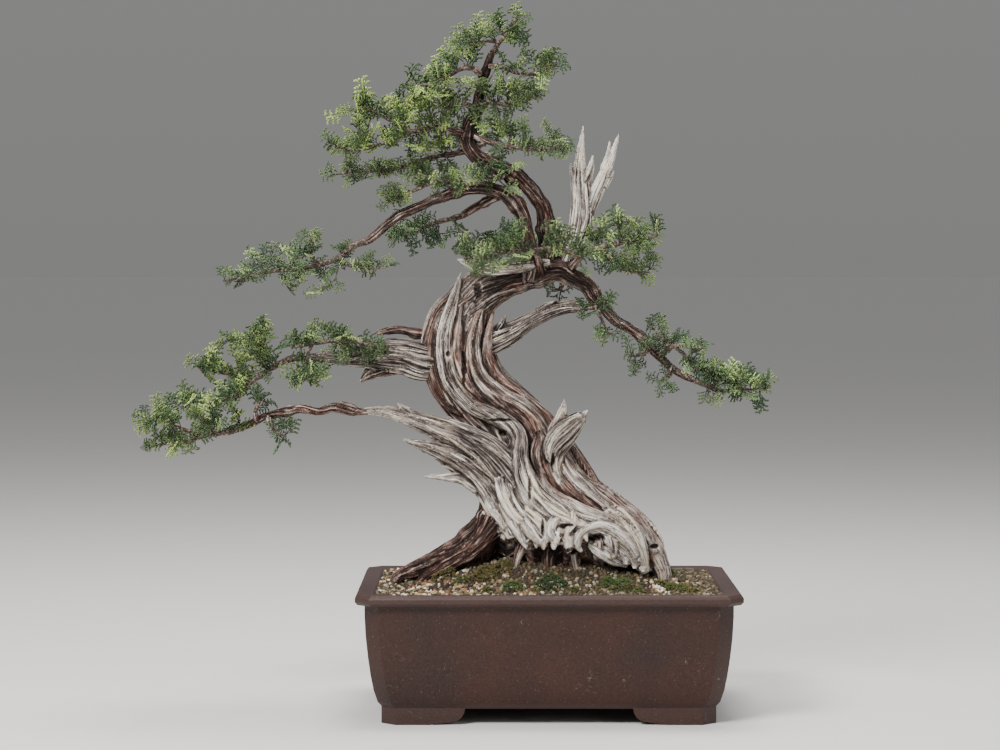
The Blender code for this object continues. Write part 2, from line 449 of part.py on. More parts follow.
SPRAYS = [
    spray("apex", LEADER, [(492, 54, 0, 3), (498, 45, 0, 2.4), (506, 36, -2, 1.9), (515, 22, 0, 1.5), (519, 12, 0, 1)],
          [(519, 8), (531, 14), (530, 31), (520, 36), (531, 46), (527, 55), (510, 60), (498, 56), (480, 52),
           (464, 51), (442, 50), (441, 45), (450, 36), (462, 33), (469, 21), (480, 24), (490, 17), (500, 17)],
          36, 52, forks=[[(500, 43, -1, 2), (482, 42, -4, 1.6), (458, 44, -6, 1)]]),
    spray("crown_left", [(484, 78, 0, 3.4), (474, 69, -8, 2.8)],
          [(474, 69, -8, 2.8), (463, 69, -11, 2.3), (452, 75, -12, 2), (440, 83, -13, 1.8), (424, 86, -12, 1.5),
           (406, 85, -10, 1.1)],
          [(464, 55), (441, 54), (433, 60), (422, 65), (410, 71), (398, 73), (395, 87), (401, 96), (404, 108),
           (415, 118), (430, 118), (440, 105), (437, 92), (448, 84), (462, 74), (472, 66)], 40, 50),
    spray("crown_right", [(487, 68, 0, 3), (498, 66, -8, 2.6)],
          [(498, 66, -8, 2.6), (510, 71, -12, 2.2), (526, 75, -14, 1.9), (541, 72, -13, 1.6), (557, 66, -11, 1.1)],
          [(531, 46), (541, 54), (554, 55), (567, 65), (560, 70), (552, 76), (541, 81), (530, 81), (518, 82),
           (508, 79), (502, 70), (512, 62), (524, 58)], 36, 34),
    spray("crown_low_right", [(477, 104, 0, 3.4), (488, 102, -9, 2.6)],
          [(488, 102, -9, 2.6), (498, 104, -13, 2.2), (510, 106, -15, 1.8), (524, 102, -15, 1.4), (540, 96, -13, 1)],
          [(484, 88), (495, 84), (510, 83), (525, 84), (534, 86), (534, 92), (545, 93), (545, 97), (535, 99),
           (534, 106), (526, 113), (515, 118), (505, 116), (497, 111), (488, 104)], 38, 34),
    spray("crown_centre", [(477, 110, 0, 3), (467, 105, -10, 2.2)],
          [(467, 105, -10, 2.2), (458, 103, -15, 1.8), (446, 108, -17, 1.2)],
          [(440, 109), (444, 98), (452, 92), (452, 87), (466, 84), (470, 91), (468, 104), (464, 114), (455, 120),
           (444, 117)], 30, 20),
    spray("left_high", [(469, 135, 0, 4.4), (456, 132, -8, 3.6), (447, 130, -10, 3.2)],
          [(447, 130, -10, 3.2), (432, 128, -12, 2.8), (410, 133, -16, 2.3), (385, 143, -19, 2), (360, 150, -19, 1.6),
           (334, 146, -17, 1.1)],
          [(321, 132), (334, 124), (337, 120), (346, 121), (348, 108), (356, 101), (368, 96), (380, 95), (387, 102),
           (398, 105), (408, 104), (414, 116), (430, 119), (440, 122), (450, 128), (448, 138), (440, 145),
           (430, 152), (420, 156), (408, 154), (395, 156), (380, 152), (362, 153), (345, 156), (335, 153),
           (322, 148)], 58, 80,
          forks=[[(410, 133, -16, 2.1), (392, 122, -22, 1.7), (370, 110, -24, 1.1)]]),
    spray("left_mid", [(474, 150, 0, 4), (458, 153, 8, 3.2), (446, 155, 12, 2.8)],
          [(446, 155, 12, 2.8), (430, 158, 15, 2.5), (412, 164, 18, 2.2), (396, 169, 18, 1.9), (375, 171, 16, 1.6),
           (350, 173, 14, 1.3), (330, 175, 12, 1)],
          [(324, 174), (334, 163), (345, 159), (365, 157), (385, 156), (400, 158), (415, 158), (430, 154),
           (444, 151), (448, 158), (435, 166), (420, 170), (405, 176), (393, 178), (378, 183), (365, 180),
           (352, 187), (335, 181)], 46, 38),
    spray("left_arch", [(458, 192, -12, 4), (454, 184, -20, 2.6)],
          [(454, 184, -20, 2.6), (446, 180, -25, 2.2), (430, 184, -27, 1.9), (412, 192, -27, 1.6), (390, 202, -25, 1.1)],
          [(374, 205), (377, 192), (388, 188), (388, 177), (405, 170), (410, 162), (425, 158), (440, 161),
           (455, 165), (462, 172), (474, 178), (476, 190), (470, 202), (458, 200), (445, 195), (430, 194),
           (420, 198), (408, 204), (392, 210)], 44, 50),
    spray("arch_top", [(505, 172, 0, 4), (501, 178, -13, 2.4)],
          [(501, 178, -13, 2.4), (497, 179, -22, 1.9), (490, 176, -28, 1.2)],
          [(474, 180), (480, 165), (495, 161), (508, 165), (515, 178), (508, 188), (500, 194), (488, 196),
           (478, 191)], 26, 20),
    spray("right_high", [(470, 134, 0, 4), (480, 139, -11, 3.2), (491, 143, -14, 2.7)],
          [(491, 143, -14, 2.7), (508, 147, -16, 2.3), (525, 149, -16, 2), (540, 150, -14, 1.6), (556, 148, -12, 1.3),
           (569, 146, -11, 1)],
          [(500, 125), (508, 121), (520, 120), (530, 122), (540, 124), (548, 127), (556, 130), (562, 131), (575, 142),
           (567, 154), (555, 156), (549, 160), (535, 156), (522, 155), (512, 160), (500, 160), (492, 154),
           (494, 146), (506, 140)], 42, 44),
    spray("left_far", ARCH,
          [(368, 241, -12, 3.8), (353, 246, -14, 3.4), (338, 258, -16, 3), (318, 265, -16, 2.7), (300, 269, -14, 2.3),
           (276, 271, -12, 1.9), (255, 274, -10, 1.6), (236, 279, -8, 1.2), (223, 281, -8, 0.9)],
          [(220, 280), (222, 265), (235, 262), (240, 253), (247, 245), (258, 246), (262, 252), (272, 254), (285, 240),
           (295, 238), (305, 232), (315, 226), (331, 230), (335, 240), (345, 234), (360, 236), (372, 238),
           (375, 248), (385, 250), (395, 255), (398, 271), (385, 276), (375, 280), (360, 281), (350, 287),
           (332, 295), (322, 294), (312, 290), (308, 305), (300, 304), (293, 295), (284, 290), (275, 280),
           (262, 281), (250, 275), (234, 285)], 54, 84,
          forks=[[(338, 258, -16, 2.4), (352, 266, -24, 2), (372, 268, -26, 1.6), (390, 266, -26, 1)],
                 [(318, 265, -16, 2.2), (310, 250, -24, 1.7), (312, 236, -26, 1)]]),
    spray("left_shade", BACK_LIMB,
          [(462, 216, 24, 3.2), (450, 219, 27, 2.8), (438, 222, 29, 2.4), (422, 228, 31, 2), (404, 234, 31, 1.6),
           (388, 238, 30, 1)],
          [(380, 235), (390, 226), (402, 222), (415, 225), (428, 222), (440, 223), (452, 228), (466, 236), (470, 246),
           (468, 256), (455, 257), (445, 251), (430, 250), (418, 250), (405, 254), (393, 254), (385, 246)], 36, 36),
    spray("middle_front", [(541, 272, -6, 5), (539, 262, -22, 3.6), (537, 254, -32, 3)],
          [(537, 254, -32, 3), (524, 250, -40, 2.6), (504, 252, -44, 2.2), (484, 257, -44, 1.7), (464, 258, -40, 1.1)],
          [(455, 258), (462, 248), (465, 240), (475, 243), (485, 238), (495, 228), (508, 221), (515, 224), (530, 222),
           (545, 221), (556, 221), (570, 226), (584, 230), (590, 240), (592, 255), (592, 268), (585, 276),
           (573, 273), (560, 266), (545, 263), (530, 266), (510, 273), (495, 275), (480, 271), (468, 264)], 38, 76,
          forks=[[(535, 250.5, -37, 2.4), (550, 248, -40, 2.2), (566, 250, -43, 1.7), (582, 258, -42, 1.1)],
                 [(524, 250, -40, 2.2), (520, 238, -42, 1.6), (514, 228, -40, 1)]]),
    spray("right_middle", [(566, 272, 0, 5), (579, 258, -8, 3.8), (588, 250, -13, 3.2)],
          [(588, 250, -13, 3.2), (602, 247, -16, 2.7), (622, 243, -16, 2.2), (641, 240, -14, 1.7), (659, 235, -12, 1.1)],
          [(576, 232), (582, 226), (590, 220), (598, 212), (603, 208), (613, 213), (622, 212), (632, 215), (640, 218),
           (648, 215), (665, 216), (667, 235), (656, 243), (661, 255), (652, 262), (660, 272), (650, 279),
           (642, 284), (632, 281), (620, 284), (610, 276), (600, 272), (594, 262), (588, 246)], 46, 72,
          forks=[[(602, 247, -16, 2.4), (612, 261, -26, 2), (628, 271, -28, 1.6), (650, 272, -26, 1)]]),
    spray("right_tuft", [(600, 303, 0, 4), (597, 306, -12, 2.4)],
          [(597, 306, -12, 2.4), (594, 308, -18, 1.9), (583, 308, -21, 1.2)],
          [(574, 310), (578, 301), (588, 298), (598, 291), (602, 285), (603, 292), (612, 296), (618, 306), (612, 314),
           (606, 318), (613, 325), (621, 330), (620, 338), (612, 342), (602, 345), (597, 335), (594, 325),
           (598, 317), (588, 313), (577, 316)], 22, 26,
          forks=[[(595, 308, -17, 1.8), (602, 320, -20, 1.5), (608, 334, -19, 1)]]),
    spray("right_shade", [(562, 274, 6, 4), (562, 284, 17, 2.4)],
          [(562, 284, 17, 2.4), (560, 289, 22, 1.9), (552, 291, 26, 1.2)],
          [(541, 284), (552, 283), (562, 286), (574, 289), (579, 296), (568, 301), (552, 298)], 20, 12),
    spray("right_hanging", [(658, 356, 0, 4), (666, 350, -10, 2.8)],
          [(666, 350, -10, 2.8), (674, 346, -15, 2.3), (685, 346, -17, 1.8), (700, 351, -17, 1.1)],
          [(646, 318), (652, 326), (660, 322), (664, 312), (670, 322), (680, 330), (690, 331), (700, 334), (708, 333),
           (704, 343), (712, 348), (706, 354), (709, 364), (704, 374), (695, 380), (686, 374), (678, 366),
           (668, 356), (660, 348), (650, 340), (642, 330)], 30, 50,
          forks=[[(674, 346, -15, 2), (688, 358, -19, 1.7), (699, 369, -19, 1)],
                 [(669, 347.5, -13, 2), (662, 337, -16, 1.6), (652, 327, -13, 1)]]),
    spray("right_under_near", [(650, 347, 0, 4), (645, 354, -10, 2.2)],
          [(645, 354, -10, 2.2), (638, 355, -14, 1.8), (629, 356, -15, 1.1)],
          [(619, 352), (623, 346), (630, 345), (634, 349), (643, 350), (645, 357), (638, 359), (637, 366), (641, 377),
           (634, 379), (628, 370), (620, 366)], 18, 16),
    spray("right_under_far", [(672, 367, 0, 4), (669, 376, -10, 2.2)],
          [(669, 376, -10, 2.2), (665, 379, -14, 1.8), (659, 383, -15, 1.1)],
          [(645, 384), (652, 375), (660, 371), (668, 371), (676, 378), (683, 384), (681, 391), (675, 394), (672, 400),
           (664, 394), (662, 387), (658, 391), (650, 388)], 18, 16),
    spray("right_tip", RIGHT_LIMB,
          [(695, 380, 0, 3.2), (710, 387, 0, 2.6), (725, 391, 0, 2.1), (742, 390, 0, 1.7), (757, 388, 0, 1.3),
           (769, 388, 0, 0.9)],
          [(704, 378), (715, 370), (727, 365), (738, 368), (745, 367), (746, 375), (753, 377), (761, 377), (770, 382),
           (774, 387), (771, 392), (775, 398), (765, 403), (750, 403), (740, 399), (725, 396), (712, 393)], 28, 36),
    spray("shelf_near", [(350, 356, -8, 5), (346, 346, -18, 3.2), (342, 342, -22, 2.6)],
          [(342, 342, -22, 2.6), (330, 341, -27, 2.2), (312, 344, -29, 1.8), (294, 347, -29, 1.2)],
          [(282, 347), (290, 338), (300, 333), (304, 325), (315, 327), (322, 327), (328, 334), (337, 330), (341, 323),
           (347, 325), (348, 333), (358, 336), (370, 333), (380, 337), (385, 345), (386, 355), (378, 364),
           (368, 370), (358, 366), (345, 362), (335, 360), (331, 372), (335, 382), (325, 388), (312, 383),
           (300, 388), (287, 389), (284, 378), (282, 362)], 46, 64,
          forks=[[(338.5, 339, -25.5, 2.2), (358, 342, -30, 1.9), (376, 347, -30, 1.1)],
                 [(312, 344, -29, 1.7), (306, 360, -33, 1.5), (308, 376, -33, 1)]]),
    spray("shelf_far", LEFT_LIMB,
          [(304, 357, -8, 4), (287, 360, -8, 3.4), (268, 370, -8, 2.8), (252, 382, -8, 2.2), (236, 394, -8, 1.7),
           (224, 404, -8, 1.1)],
          [(186, 365), (190, 361), (203, 361), (209, 366), (212, 356), (219, 342), (225, 335), (235, 336), (245, 332),
           (253, 333), (254, 322), (260, 321), (268, 325), (276, 324), (280, 336), (281, 348), (280, 362),
           (282, 375), (281, 386), (272, 380), (258, 386), (250, 392), (244, 388), (238, 398), (225, 410),
           (212, 406), (205, 396), (199, 381), (192, 374)], 50, 84,
          forks=[[(268, 370, -8, 2.4), (256, 352, -14, 1.9), (247, 340, -16, 1.1)],
                 [(252, 382, -8, 2), (228, 374, -14, 1.7), (202, 370, -16, 1)]]),
    spray("low_far", LOW_LEFT_LIMB,
          [(238, 429, -14, 3.5), (228, 432, -14, 3.2), (214, 434, -14, 2.8), (200, 437, -14, 2.4), (188, 441, -14, 2),
           (170, 443, -15, 1.5), (147, 448, -16, 0.9)],
          [(132, 412), (143, 409), (152, 411), (158, 399), (165, 397), (172, 398), (176, 390), (182, 383), (188, 391),
           (194, 396), (203, 405), (213, 413), (226, 414), (232, 405), (238, 404), (242, 414), (250, 420),
           (243, 430), (236, 438), (222, 440), (213, 449), (208, 444), (196, 444), (183, 450), (172, 452),
           (160, 447), (146, 453), (134, 445), (142, 436), (133, 427)], 50, 80,
          forks=[[(200, 437, -14, 2.1), (185, 430, -19, 1.8), (165, 423, -22, 1.4), (142, 416, -22, 0.9)],
                 [(214, 434, -14, 2.1), (205, 418, -22, 1.7), (188, 402, -24, 1)]]),
    spray("low_under", [(268, 416, -14, 3.6), (270, 424, -24, 2), (272, 428, -27, 1.8)],
          [(272, 428, -27, 1.8), (277, 433, -30, 1.5), (286, 437, -30, 1)],
          [(258, 431), (264, 428), (270, 425), (280, 418), (290, 415), (297, 420), (299, 430), (294, 438), (290, 446),
           (282, 454), (274, 445), (266, 436)], 20, 20),
    spray("low_over", [(256, 421, -14, 3.4), (255, 412, -23, 2)],
          [(255, 412, -23, 2), (257, 406, -26, 1.6), (262, 398, -26, 1)],
          [(246, 395), (252, 389), (262, 391), (269, 399), (272, 409), (262, 413), (252, 411), (247, 404)], 18, 14),
    spray("back_middle", [(544, 270, 6, 6), (541, 262, 24, 4.4), (538, 258, 36, 3.6)],
          [(538, 258, 36, 3.6), (532, 252, 58, 2.9), (524, 250, 82, 2.2), (516, 250, 108, 1.2)],
          [(478, 236), (500, 228), (530, 226), (560, 228), (588, 236), (590, 262), (560, 264), (530, 262),
           (500, 264), (482, 258)], 46, 50,
          forks=[[(534, 254, 50, 2.4), (560, 250, 66, 1.9), (582, 248, 80, 1.1)],
                 [(528, 251, 70, 2.2), (505, 248, 74, 1.7), (486, 248, 76, 1)]]),
    spray("back_high", [(474, 148, 0, 4), (480, 146, 16, 3), (482, 144, 24, 2.6)],
          [(482, 144, 24, 2.6), (485, 140, 40, 2.1), (488, 136, 62, 1.1)],
          [(446, 120), (462, 112), (484, 110), (503, 118), (510, 134), (500, 150), (474, 158), (450, 150)], 30, 34,
          forks=[[(484, 142, 32, 1.9), (468, 134, 44, 1.5), (454, 132, 52, 1)]]),
]


class Neighbours:
    """What a new shoot has to stay clear of: the trunk's surface and the shoots of other sprays."""

    def __init__(self, trunk):
        self.surface = BVHTree.FromPolygons([v.co for v in trunk.data.vertices],
                                            [p.vertices for p in trunk.data.polygons])
        self.places = []
        self.tree = None

    def settle(self, places):
        """Adds a finished spray's places, each with its half thickness."""
        self.places = self.places + places
        self.tree = KDTree(len(self.places))
        for index, (place, _) in enumerate(self.places):
            self.tree.insert(place, index)
        self.tree.balance()

    def clear(self, place, thick, start):
        """Whether a place is clear. Close to the cap where the spray starts, it may be nearer the wood."""
        room = GAP if (place - start).length < 9.0 else CLEARANCE
        if self.surface.find_nearest(place, thick + room)[0] is not None:
            return False
        if self.tree is None:
            return True
        near = self.tree.find_range(place, thick + CLEARANCE + 4.0)
        return all(gap > thick + self.places[index][1] + CLEARANCE for _, index, gap in near)


def spaced(start, end, pitch=2.5):
    """Places along a straight stretch, its two ends included."""
    cuts = max(1, math.ceil((end - start).length / pitch))
    return [start.lerp(end, i / cuts) for i in range(cuts + 1)]


def inside(across, down, triangles):
    place = Vector((across, down))
    return any(intersect_point_tri_2d(place, *corners) for corners in triangles)


def tips_in(outline, core, reach, count, rng):
    """Shoot tips spread evenly over the outline, and in depth round the core."""
    flat = [Vector((across, down, 0)) for across, down in outline]
    triangles = [[flat[i].xy for i in corners] for corners in tessellate_polygon([flat])]
    left, right = min(p.x for p in flat), max(p.x for p in flat)
    top, bottom = min(p.y for p in flat), max(p.y for p in flat)
    tips = []
    while len(tips) < count:
        best, best_gap = None, -1.0
        tries = 0
        while tries < 10:
            across, down = rng.uniform(left, right), rng.uniform(top, bottom)
            if not inside(across, down, triangles):
                continue
            tries += 1
            middle = min(core, key=lambda place: math.dist(place[:2], (across, down)))[2]
            width = math.sin(math.pi * (0.1 + 0.8 * (across - left) / (right - left)))
            back = middle + reach * width * rng.uniform(-1, 1)
            gap = min((math.dist((across, down, 0.6 * back), (*tip[:2], 0.6 * tip[2])) for tip in tips), default=1.0)
            if gap > best_gap:
                best, best_gap = (across, down, back), gap
        tips.append(best)
    return [drawn(*tip) for tip in tips]


def shoot(start, end, thick):
    """A three-sided spindle, from a point inside its parent twig to its tip."""
    way = (end - start).normalized()
    side = way.orthogonal().normalized()
    across = way.cross(side)
    belly = start + way * ROOT_LENGTH
    bm = bmesh.new()
    root, tip = bm.verts.new(start), bm.verts.new(end)
    ring = [bm.verts.new(belly + thick * (side * math.cos(a) + across * math.sin(a)))
            for a in (0, 2 * math.pi / 3, 4 * math.pi / 3)]
    for i in range(3):
        bm.faces.new((ring[i - 1], ring[i], tip))
        bm.faces.new((ring[i], ring[i - 1], root))
    return bm


def starts_on(centres, thicks, pitch=6.0):
    """Places along a limb's middle where a shoot may start, each with the limb's half thickness and direction."""
    found = []
    for start, end, thick, next_thick in zip(centres, centres[1:], thicks, thicks[1:]):
        cuts = max(1, math.ceil((end - start).length / pitch))
        for i in range(cuts):
            share = (i + 0.5) / cuts
            found.append((start.lerp(end, share), thick + (next_thick - thick) * share, (end - start).normalized()))
    return found


def grow_shoots(entry, spines, neighbours, rng):
    """Shoots that fork from the core and from each other out to the tips. Returns them with their places."""
    cores = [entry["core"], *entry["forks"]]
    first = drawn(*cores[0][0][:3])
    knots = [knot for centres, thicks in spines for knot in starts_on(centres, thicks)]
    tips = tips_in(entry["outline"], [p for path in cores for p in path], entry["reach"],
                   round(entry["shoots"] * SHOOT_SHARE), rng)
    tips.sort(key=lambda tip: min((tip - knot[0]).length for knot in knots))
    pieces, taken = [], []
    own = [(centre, thick) for centre, thick, _ in knots]
    for tip in tips:
        for knot in sorted(knots, key=lambda k: (tip - k[0]).length - 5.0 * (tip - k[0]).normalized().dot(k[2]))[:6]:
            start, parent_thick, _ = knot
            if (tip - start).length < 5.0:
                continue
            thick = min(SHOOT_THICK, 0.8 * parent_thick + 0.25)
            stretch = spaced(start, tip)
            free = [place for place in stretch if (place - start).length > 4.0]
            if any((place - other).length < thick + other_thick for place in free for other, other_thick in own):
                continue
            if all(neighbours.clear(place, thick, first) for place in stretch[1:]):
                pieces.append(shoot(start, tip, thick))
                own += [(place, thick * (1 - i / len(stretch))) for i, place in enumerate(stretch)]
                way = (tip - start).normalized()
                knots += [(start.lerp(tip, share), thick * (1 - share), way) for share in (0.28, 0.5)]
                taken += [(place, thick * (1 - i / len(stretch))) for i, place in enumerate(stretch)]
                break
    return pieces, taken


def make_sprays(trunk):
    """Each spray's core and shoots, fused into one body that stays clear of the wood and the other sprays."""
    finish = material("juniper_foliage", (0.10, 0.17, 0.08), 0.6)
    neighbours = Neighbours(trunk)
    core_places = {}
    for entry in SPRAYS:
        cores = [entry["core"], *entry["forks"]]
        core_places[entry["name"]] = [
            (drawn(*place[:3]), place[3]) for path in cores for place in smooth_path(path, 4.0)
        ]
    made = []
    for number, entry in enumerate(SPRAYS):
        others = [place for name, places in core_places.items() if name != entry["name"] for place in places]
        shoots_before = neighbours.places
        neighbours.settle(others)
        rng = random.Random(number + 11)
        facing = end_way(entry["stem"])
        spines = [spine(entry["core"], facing=facing)] + [spine(path) for path in entry["forks"]]
        pieces, taken = grow_shoots(entry, spines, neighbours, rng)
        twigs = [limb(entry["core"], sides=4, facing=facing)]
        twigs += [limb(path, sides=3) for path in entry["forks"]]
        made.append(fuse(entry["name"], twigs + pieces))
        neighbours.places = shoots_before
        neighbours.settle(taken)
    for item in made:
        make_node(item, finish)


# Trunk and soil


def root(path, grow=0.0):
    return limb(path, sides=6, step=24, grow=grow)


def make_trunk():
    column = limb(COLUMN, sides=TRUNK_SIDES, step=28, flutes=TRUNK_FLUTES, depth=0.07, flat=0.72)
    pieces = [column]
    pieces += [root(path) for path in ROOTS]
    pieces += [limb(path, sides=6) for path in (RIGHT_LIMB, LEADER, ARCH, LEFT_LIMB)]
    pieces += [limb(path, sides=5) for path in (LOW_LEFT_LIMB, BACK_LIMB)]
    pieces += [limb(path, sides=6, step=26, flat=0.55) for path in FAN]
    pieces += [limb(path, sides=5, step=22) for path in HORN + GREY_BRANCH + LEFT_STUBS]
    pieces += [limb(path, sides=5, step=26, flat=0.75) for path in UPRIGHT_FORK]
    pieces += [limb(path, sides=4, step=30) for path in RIDGES]
    carriers = (LEADER, ARCH, BACK_LIMB, RIGHT_LIMB, LEFT_LIMB, LOW_LEFT_LIMB)
    pieces += [limb(entry["stem"], sides=4) for entry in SPRAYS if entry["stem"] not in carriers]
    trunk = fuse("trunk", pieces)
    cutters = [new_object("hollow", limb(path, sides=7)) for path in HOLLOWS]
    apply_boolean(trunk, cutters, "DIFFERENCE", solver="MANIFOLD")
    keep_one_body(trunk)
    return trunk


def soil_height(x, y):
    """The soil's surface: level at the rim, a flat-topped mound under the trunk, with small bumps."""
    away = min(1.0, math.hypot(x / 168.0, y / 116.0))
    mound = SOIL_MOUND * min(1.0, 1.35 * (0.5 + 0.5 * math.cos(math.pi * away)))
    bumps = 1.3 * noise.noise(Vector((x / 22.0, y / 22.0, 3.0)))
    return SOIL_EDGE + mound + bumps * (1.0 - away ** 4)


def soil_outline(inset, share=1.0, height=None):
    """Points round the pot's inside, drawn in towards the middle by a share, on the soil's surface."""
    inset += GAP + 0.1
    corners = cut_rectangle(LIP_LENGTH / 2 - inset, LIP_DEPTH / 2 - inset, CORNER_CUT, 0)
    points = []
    for start, end, cuts in zip(corners, corners[1:] + corners[:1], (5, 1, 7, 1) * 2):
        points += [start.lerp(end, i / cuts) for i in range(cuts)]
    points = [Vector((p.x * share, p.y * share, 0)) for p in points]
    for p in points:
        p.z = soil_height(p.x, p.y) if height is None else height
    return points


def make_soil():
    rings = [soil_outline(inset, height=max(height, FLOOR_TOP + GAP)) for inset, height in reversed(INSIDE[1:])]
    rings += [soil_outline(RIM_WIDTH, share) for share in (1.0, 0.85, 0.66, 0.45, 0.2)]
    soil = new_object("soil", loft(rings))
    seats = [new_object("seat", root(path, grow=0.4)) for path in ROOTS]
    apply_boolean(soil, seats, "DIFFERENCE", solver="MANIFOLD")
    low, half = FLOOR_TOP - 2, SCREEN_SIDE / 2 + GAP
    pockets = [
        new_object("pocket", block(side * DRAIN_SPACING / 2, 0, half, low, FLOOR_TOP + SCREEN_THICK + 2 * GAP))
        for side in (-1, 1)
    ]
    apply_boolean(soil, pockets, "DIFFERENCE", solver="MANIFOLD")
    keep_one_body(soil)
    make_node(soil, material("gritty_soil", (0.12, 0.09, 0.06), 0.9))


def stand_on_origin():
    """Moves everything sideways, so that the origin is under the middle of the whole bonsai."""
    items = [item for item in bpy.data.objects if item.type == "MESH"]
    places = [vertex.co for item in items for vertex in item.data.vertices]
    middle = [(min(p[axis] for p in places) + max(p[axis] for p in places)) / 2 for axis in (0, 1)]
    shift = Vector((-round(middle[0], 4), -round(middle[1], 4), 0.0))
    for item in items:
        for vertex in item.data.vertices:
            vertex.co += shift


def main():
    remove(bpy.data.objects)
    make_pot()
    make_screens()
    make_soil()
    trunk = make_trunk()
    make_sprays(trunk)
    make_node(trunk, material("juniper_wood", (0.32, 0.25, 0.20), 0.8))
    stand_on_origin()


main()
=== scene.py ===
# A California juniper bonsai: weathered trunk, sprays of scale foliage, gritty soil and its stoneware pot.
# Sizes are in millimetres from the pot's middle until a mesh is made, which is in metres.

import json
import math
import random

import bmesh
import bpy
import numpy as np
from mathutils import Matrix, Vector
from mathutils.kdtree import KDTree

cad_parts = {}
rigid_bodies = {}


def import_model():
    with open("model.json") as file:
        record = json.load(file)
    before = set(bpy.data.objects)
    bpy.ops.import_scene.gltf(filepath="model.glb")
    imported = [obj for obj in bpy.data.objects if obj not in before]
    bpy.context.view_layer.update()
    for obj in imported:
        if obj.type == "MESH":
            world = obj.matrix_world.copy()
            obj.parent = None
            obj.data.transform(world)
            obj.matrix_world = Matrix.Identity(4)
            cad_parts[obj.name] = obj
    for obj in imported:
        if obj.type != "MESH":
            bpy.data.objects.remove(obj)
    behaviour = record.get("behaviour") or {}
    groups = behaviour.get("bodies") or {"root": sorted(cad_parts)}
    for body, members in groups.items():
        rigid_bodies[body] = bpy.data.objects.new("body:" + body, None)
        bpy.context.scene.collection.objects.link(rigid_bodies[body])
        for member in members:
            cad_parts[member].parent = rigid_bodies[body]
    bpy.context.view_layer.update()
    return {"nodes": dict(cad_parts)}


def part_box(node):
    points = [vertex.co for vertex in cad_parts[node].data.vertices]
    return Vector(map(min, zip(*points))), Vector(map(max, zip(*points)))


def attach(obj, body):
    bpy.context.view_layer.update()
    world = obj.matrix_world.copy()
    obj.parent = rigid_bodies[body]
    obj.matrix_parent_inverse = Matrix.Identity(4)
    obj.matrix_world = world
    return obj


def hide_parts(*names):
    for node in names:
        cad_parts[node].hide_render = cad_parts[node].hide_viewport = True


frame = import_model()
potLow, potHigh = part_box("pot")
potMiddle = np.array(((potLow.x + potHigh.x) / 2, (potLow.y + potHigh.y) / 2, 0.0))
seam = 0.000005  # m: corners of packed triangles that lie closer than this are one

# The tree is drawn on an upright sheet through the pot's middle, as (across, down, back, half thickness)
sheet = {
    "middle": 547.4,  # across, where the pot's middle is
    "foot": 708.7,  # down, where the soles of the feet are
    "eye": np.array((-47.4, -2935.0, 452.7)),  # where the sheet is looked at from
    "aim": np.array((-47.4, 0.0, 333.7)),
}


def drawn(places):
    places = np.asarray(places, float)
    onSheet = np.stack((places[:, 0] - sheet["middle"], 0 * places[:, 0], sheet["foot"] - places[:, 1]),
                       axis=1)
    return sheet["eye"] + (onSheet - sheet["eye"]) * (1.0 - places[:, 2:3] / sheet["eye"][1])


def inRow(points):  # to metres in the row's frame
    return np.asarray(points) * 0.001 + potMiddle


def fromRow(points):
    return (np.asarray(points) - potMiddle) * 1000.0


# Nodes, colours and meshes

def linear(code):
    parts = [int(code[i:i + 2], 16) / 255 for i in (1, 3, 5)]
    return (*[p / 12.92 if p <= 0.04045 else ((p + 0.055) / 1.055) ** 2.4 for p in parts], 1.0)


def addNode(tree, kind, inputs={}, stops=None, **settings):
    node = tree.nodes.new(kind)
    for name, value in settings.items():
        setattr(node, name, value)
    for key, value in inputs.items():
        if isinstance(value, bpy.types.NodeSocket):
            tree.links.new(value, node.inputs[key])
        else:
            node.inputs[key].default_value = value
    if stops:
        bar = node.color_ramp.elements
        bar.remove(bar[1])
        bar[0].position, bar[0].color = stops[0][0], linear(stops[0][1])
        for place, code in stops[1:]:
            bar.new(place).color = linear(code)
    return node


def startMaterial(name, inputs):
    made = bpy.data.materials.new(name)
    made.use_nodes = True
    shader = made.node_tree.nodes["Principled BSDF"]
    for key, value in inputs.items():
        shader.inputs[key].default_value = value
    return made, made.node_tree, shader


def startTree(name, inputs):  # a node group whose inputs each have a name, a kind and a starting value
    tree = bpy.data.node_groups.new(name, "GeometryNodeTree")
    sockets = {}
    for label, kind, value in inputs:
        socket = tree.interface.new_socket(name=label, in_out="INPUT", socket_type="NodeSocket" + kind)
        if value is not None:
            socket.default_value = value
        sockets[label] = socket.identifier
    tree.interface.new_socket(name="Geometry", in_out="OUTPUT", socket_type="NodeSocketGeometry")
    return tree, sockets, addNode(tree, "NodeGroupInput").outputs


def newObject(name, data):
    made = bpy.data.objects.new(name, data)
    bpy.context.scene.collection.objects.link(made)
    return made


def addAttribute(mesh, name, values):  # a number or a vector for each corner
    values = np.asarray(values, np.float32)
    kind, key = ("FLOAT", "value") if values.ndim == 1 else ("FLOAT_VECTOR", "vector")
    mesh.attributes.new(name, kind, "POINT").data.foreach_set(key, values.ravel())


def meshObject(name, verts, faces, attributes={}):
    mesh = bpy.data.meshes.new(name)
    mesh.from_pydata(verts, [], faces)
    for key, values in attributes.items():
        addAttribute(mesh, key, values)
    mesh.shade_smooth()
    return newObject(name, mesh)


def merged(mesh):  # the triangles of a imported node, joined where they meet
    bm = bmesh.new()
    bm.from_mesh(mesh)
    bmesh.ops.remove_doubles(bm, verts=bm.verts, dist=seam)
    return bm


def vectorsOf(items, key):
    found = np.empty(len(items) * 3, np.float32)
    items.foreach_get(key, found)
    return found.reshape(-1, 3).astype(float)


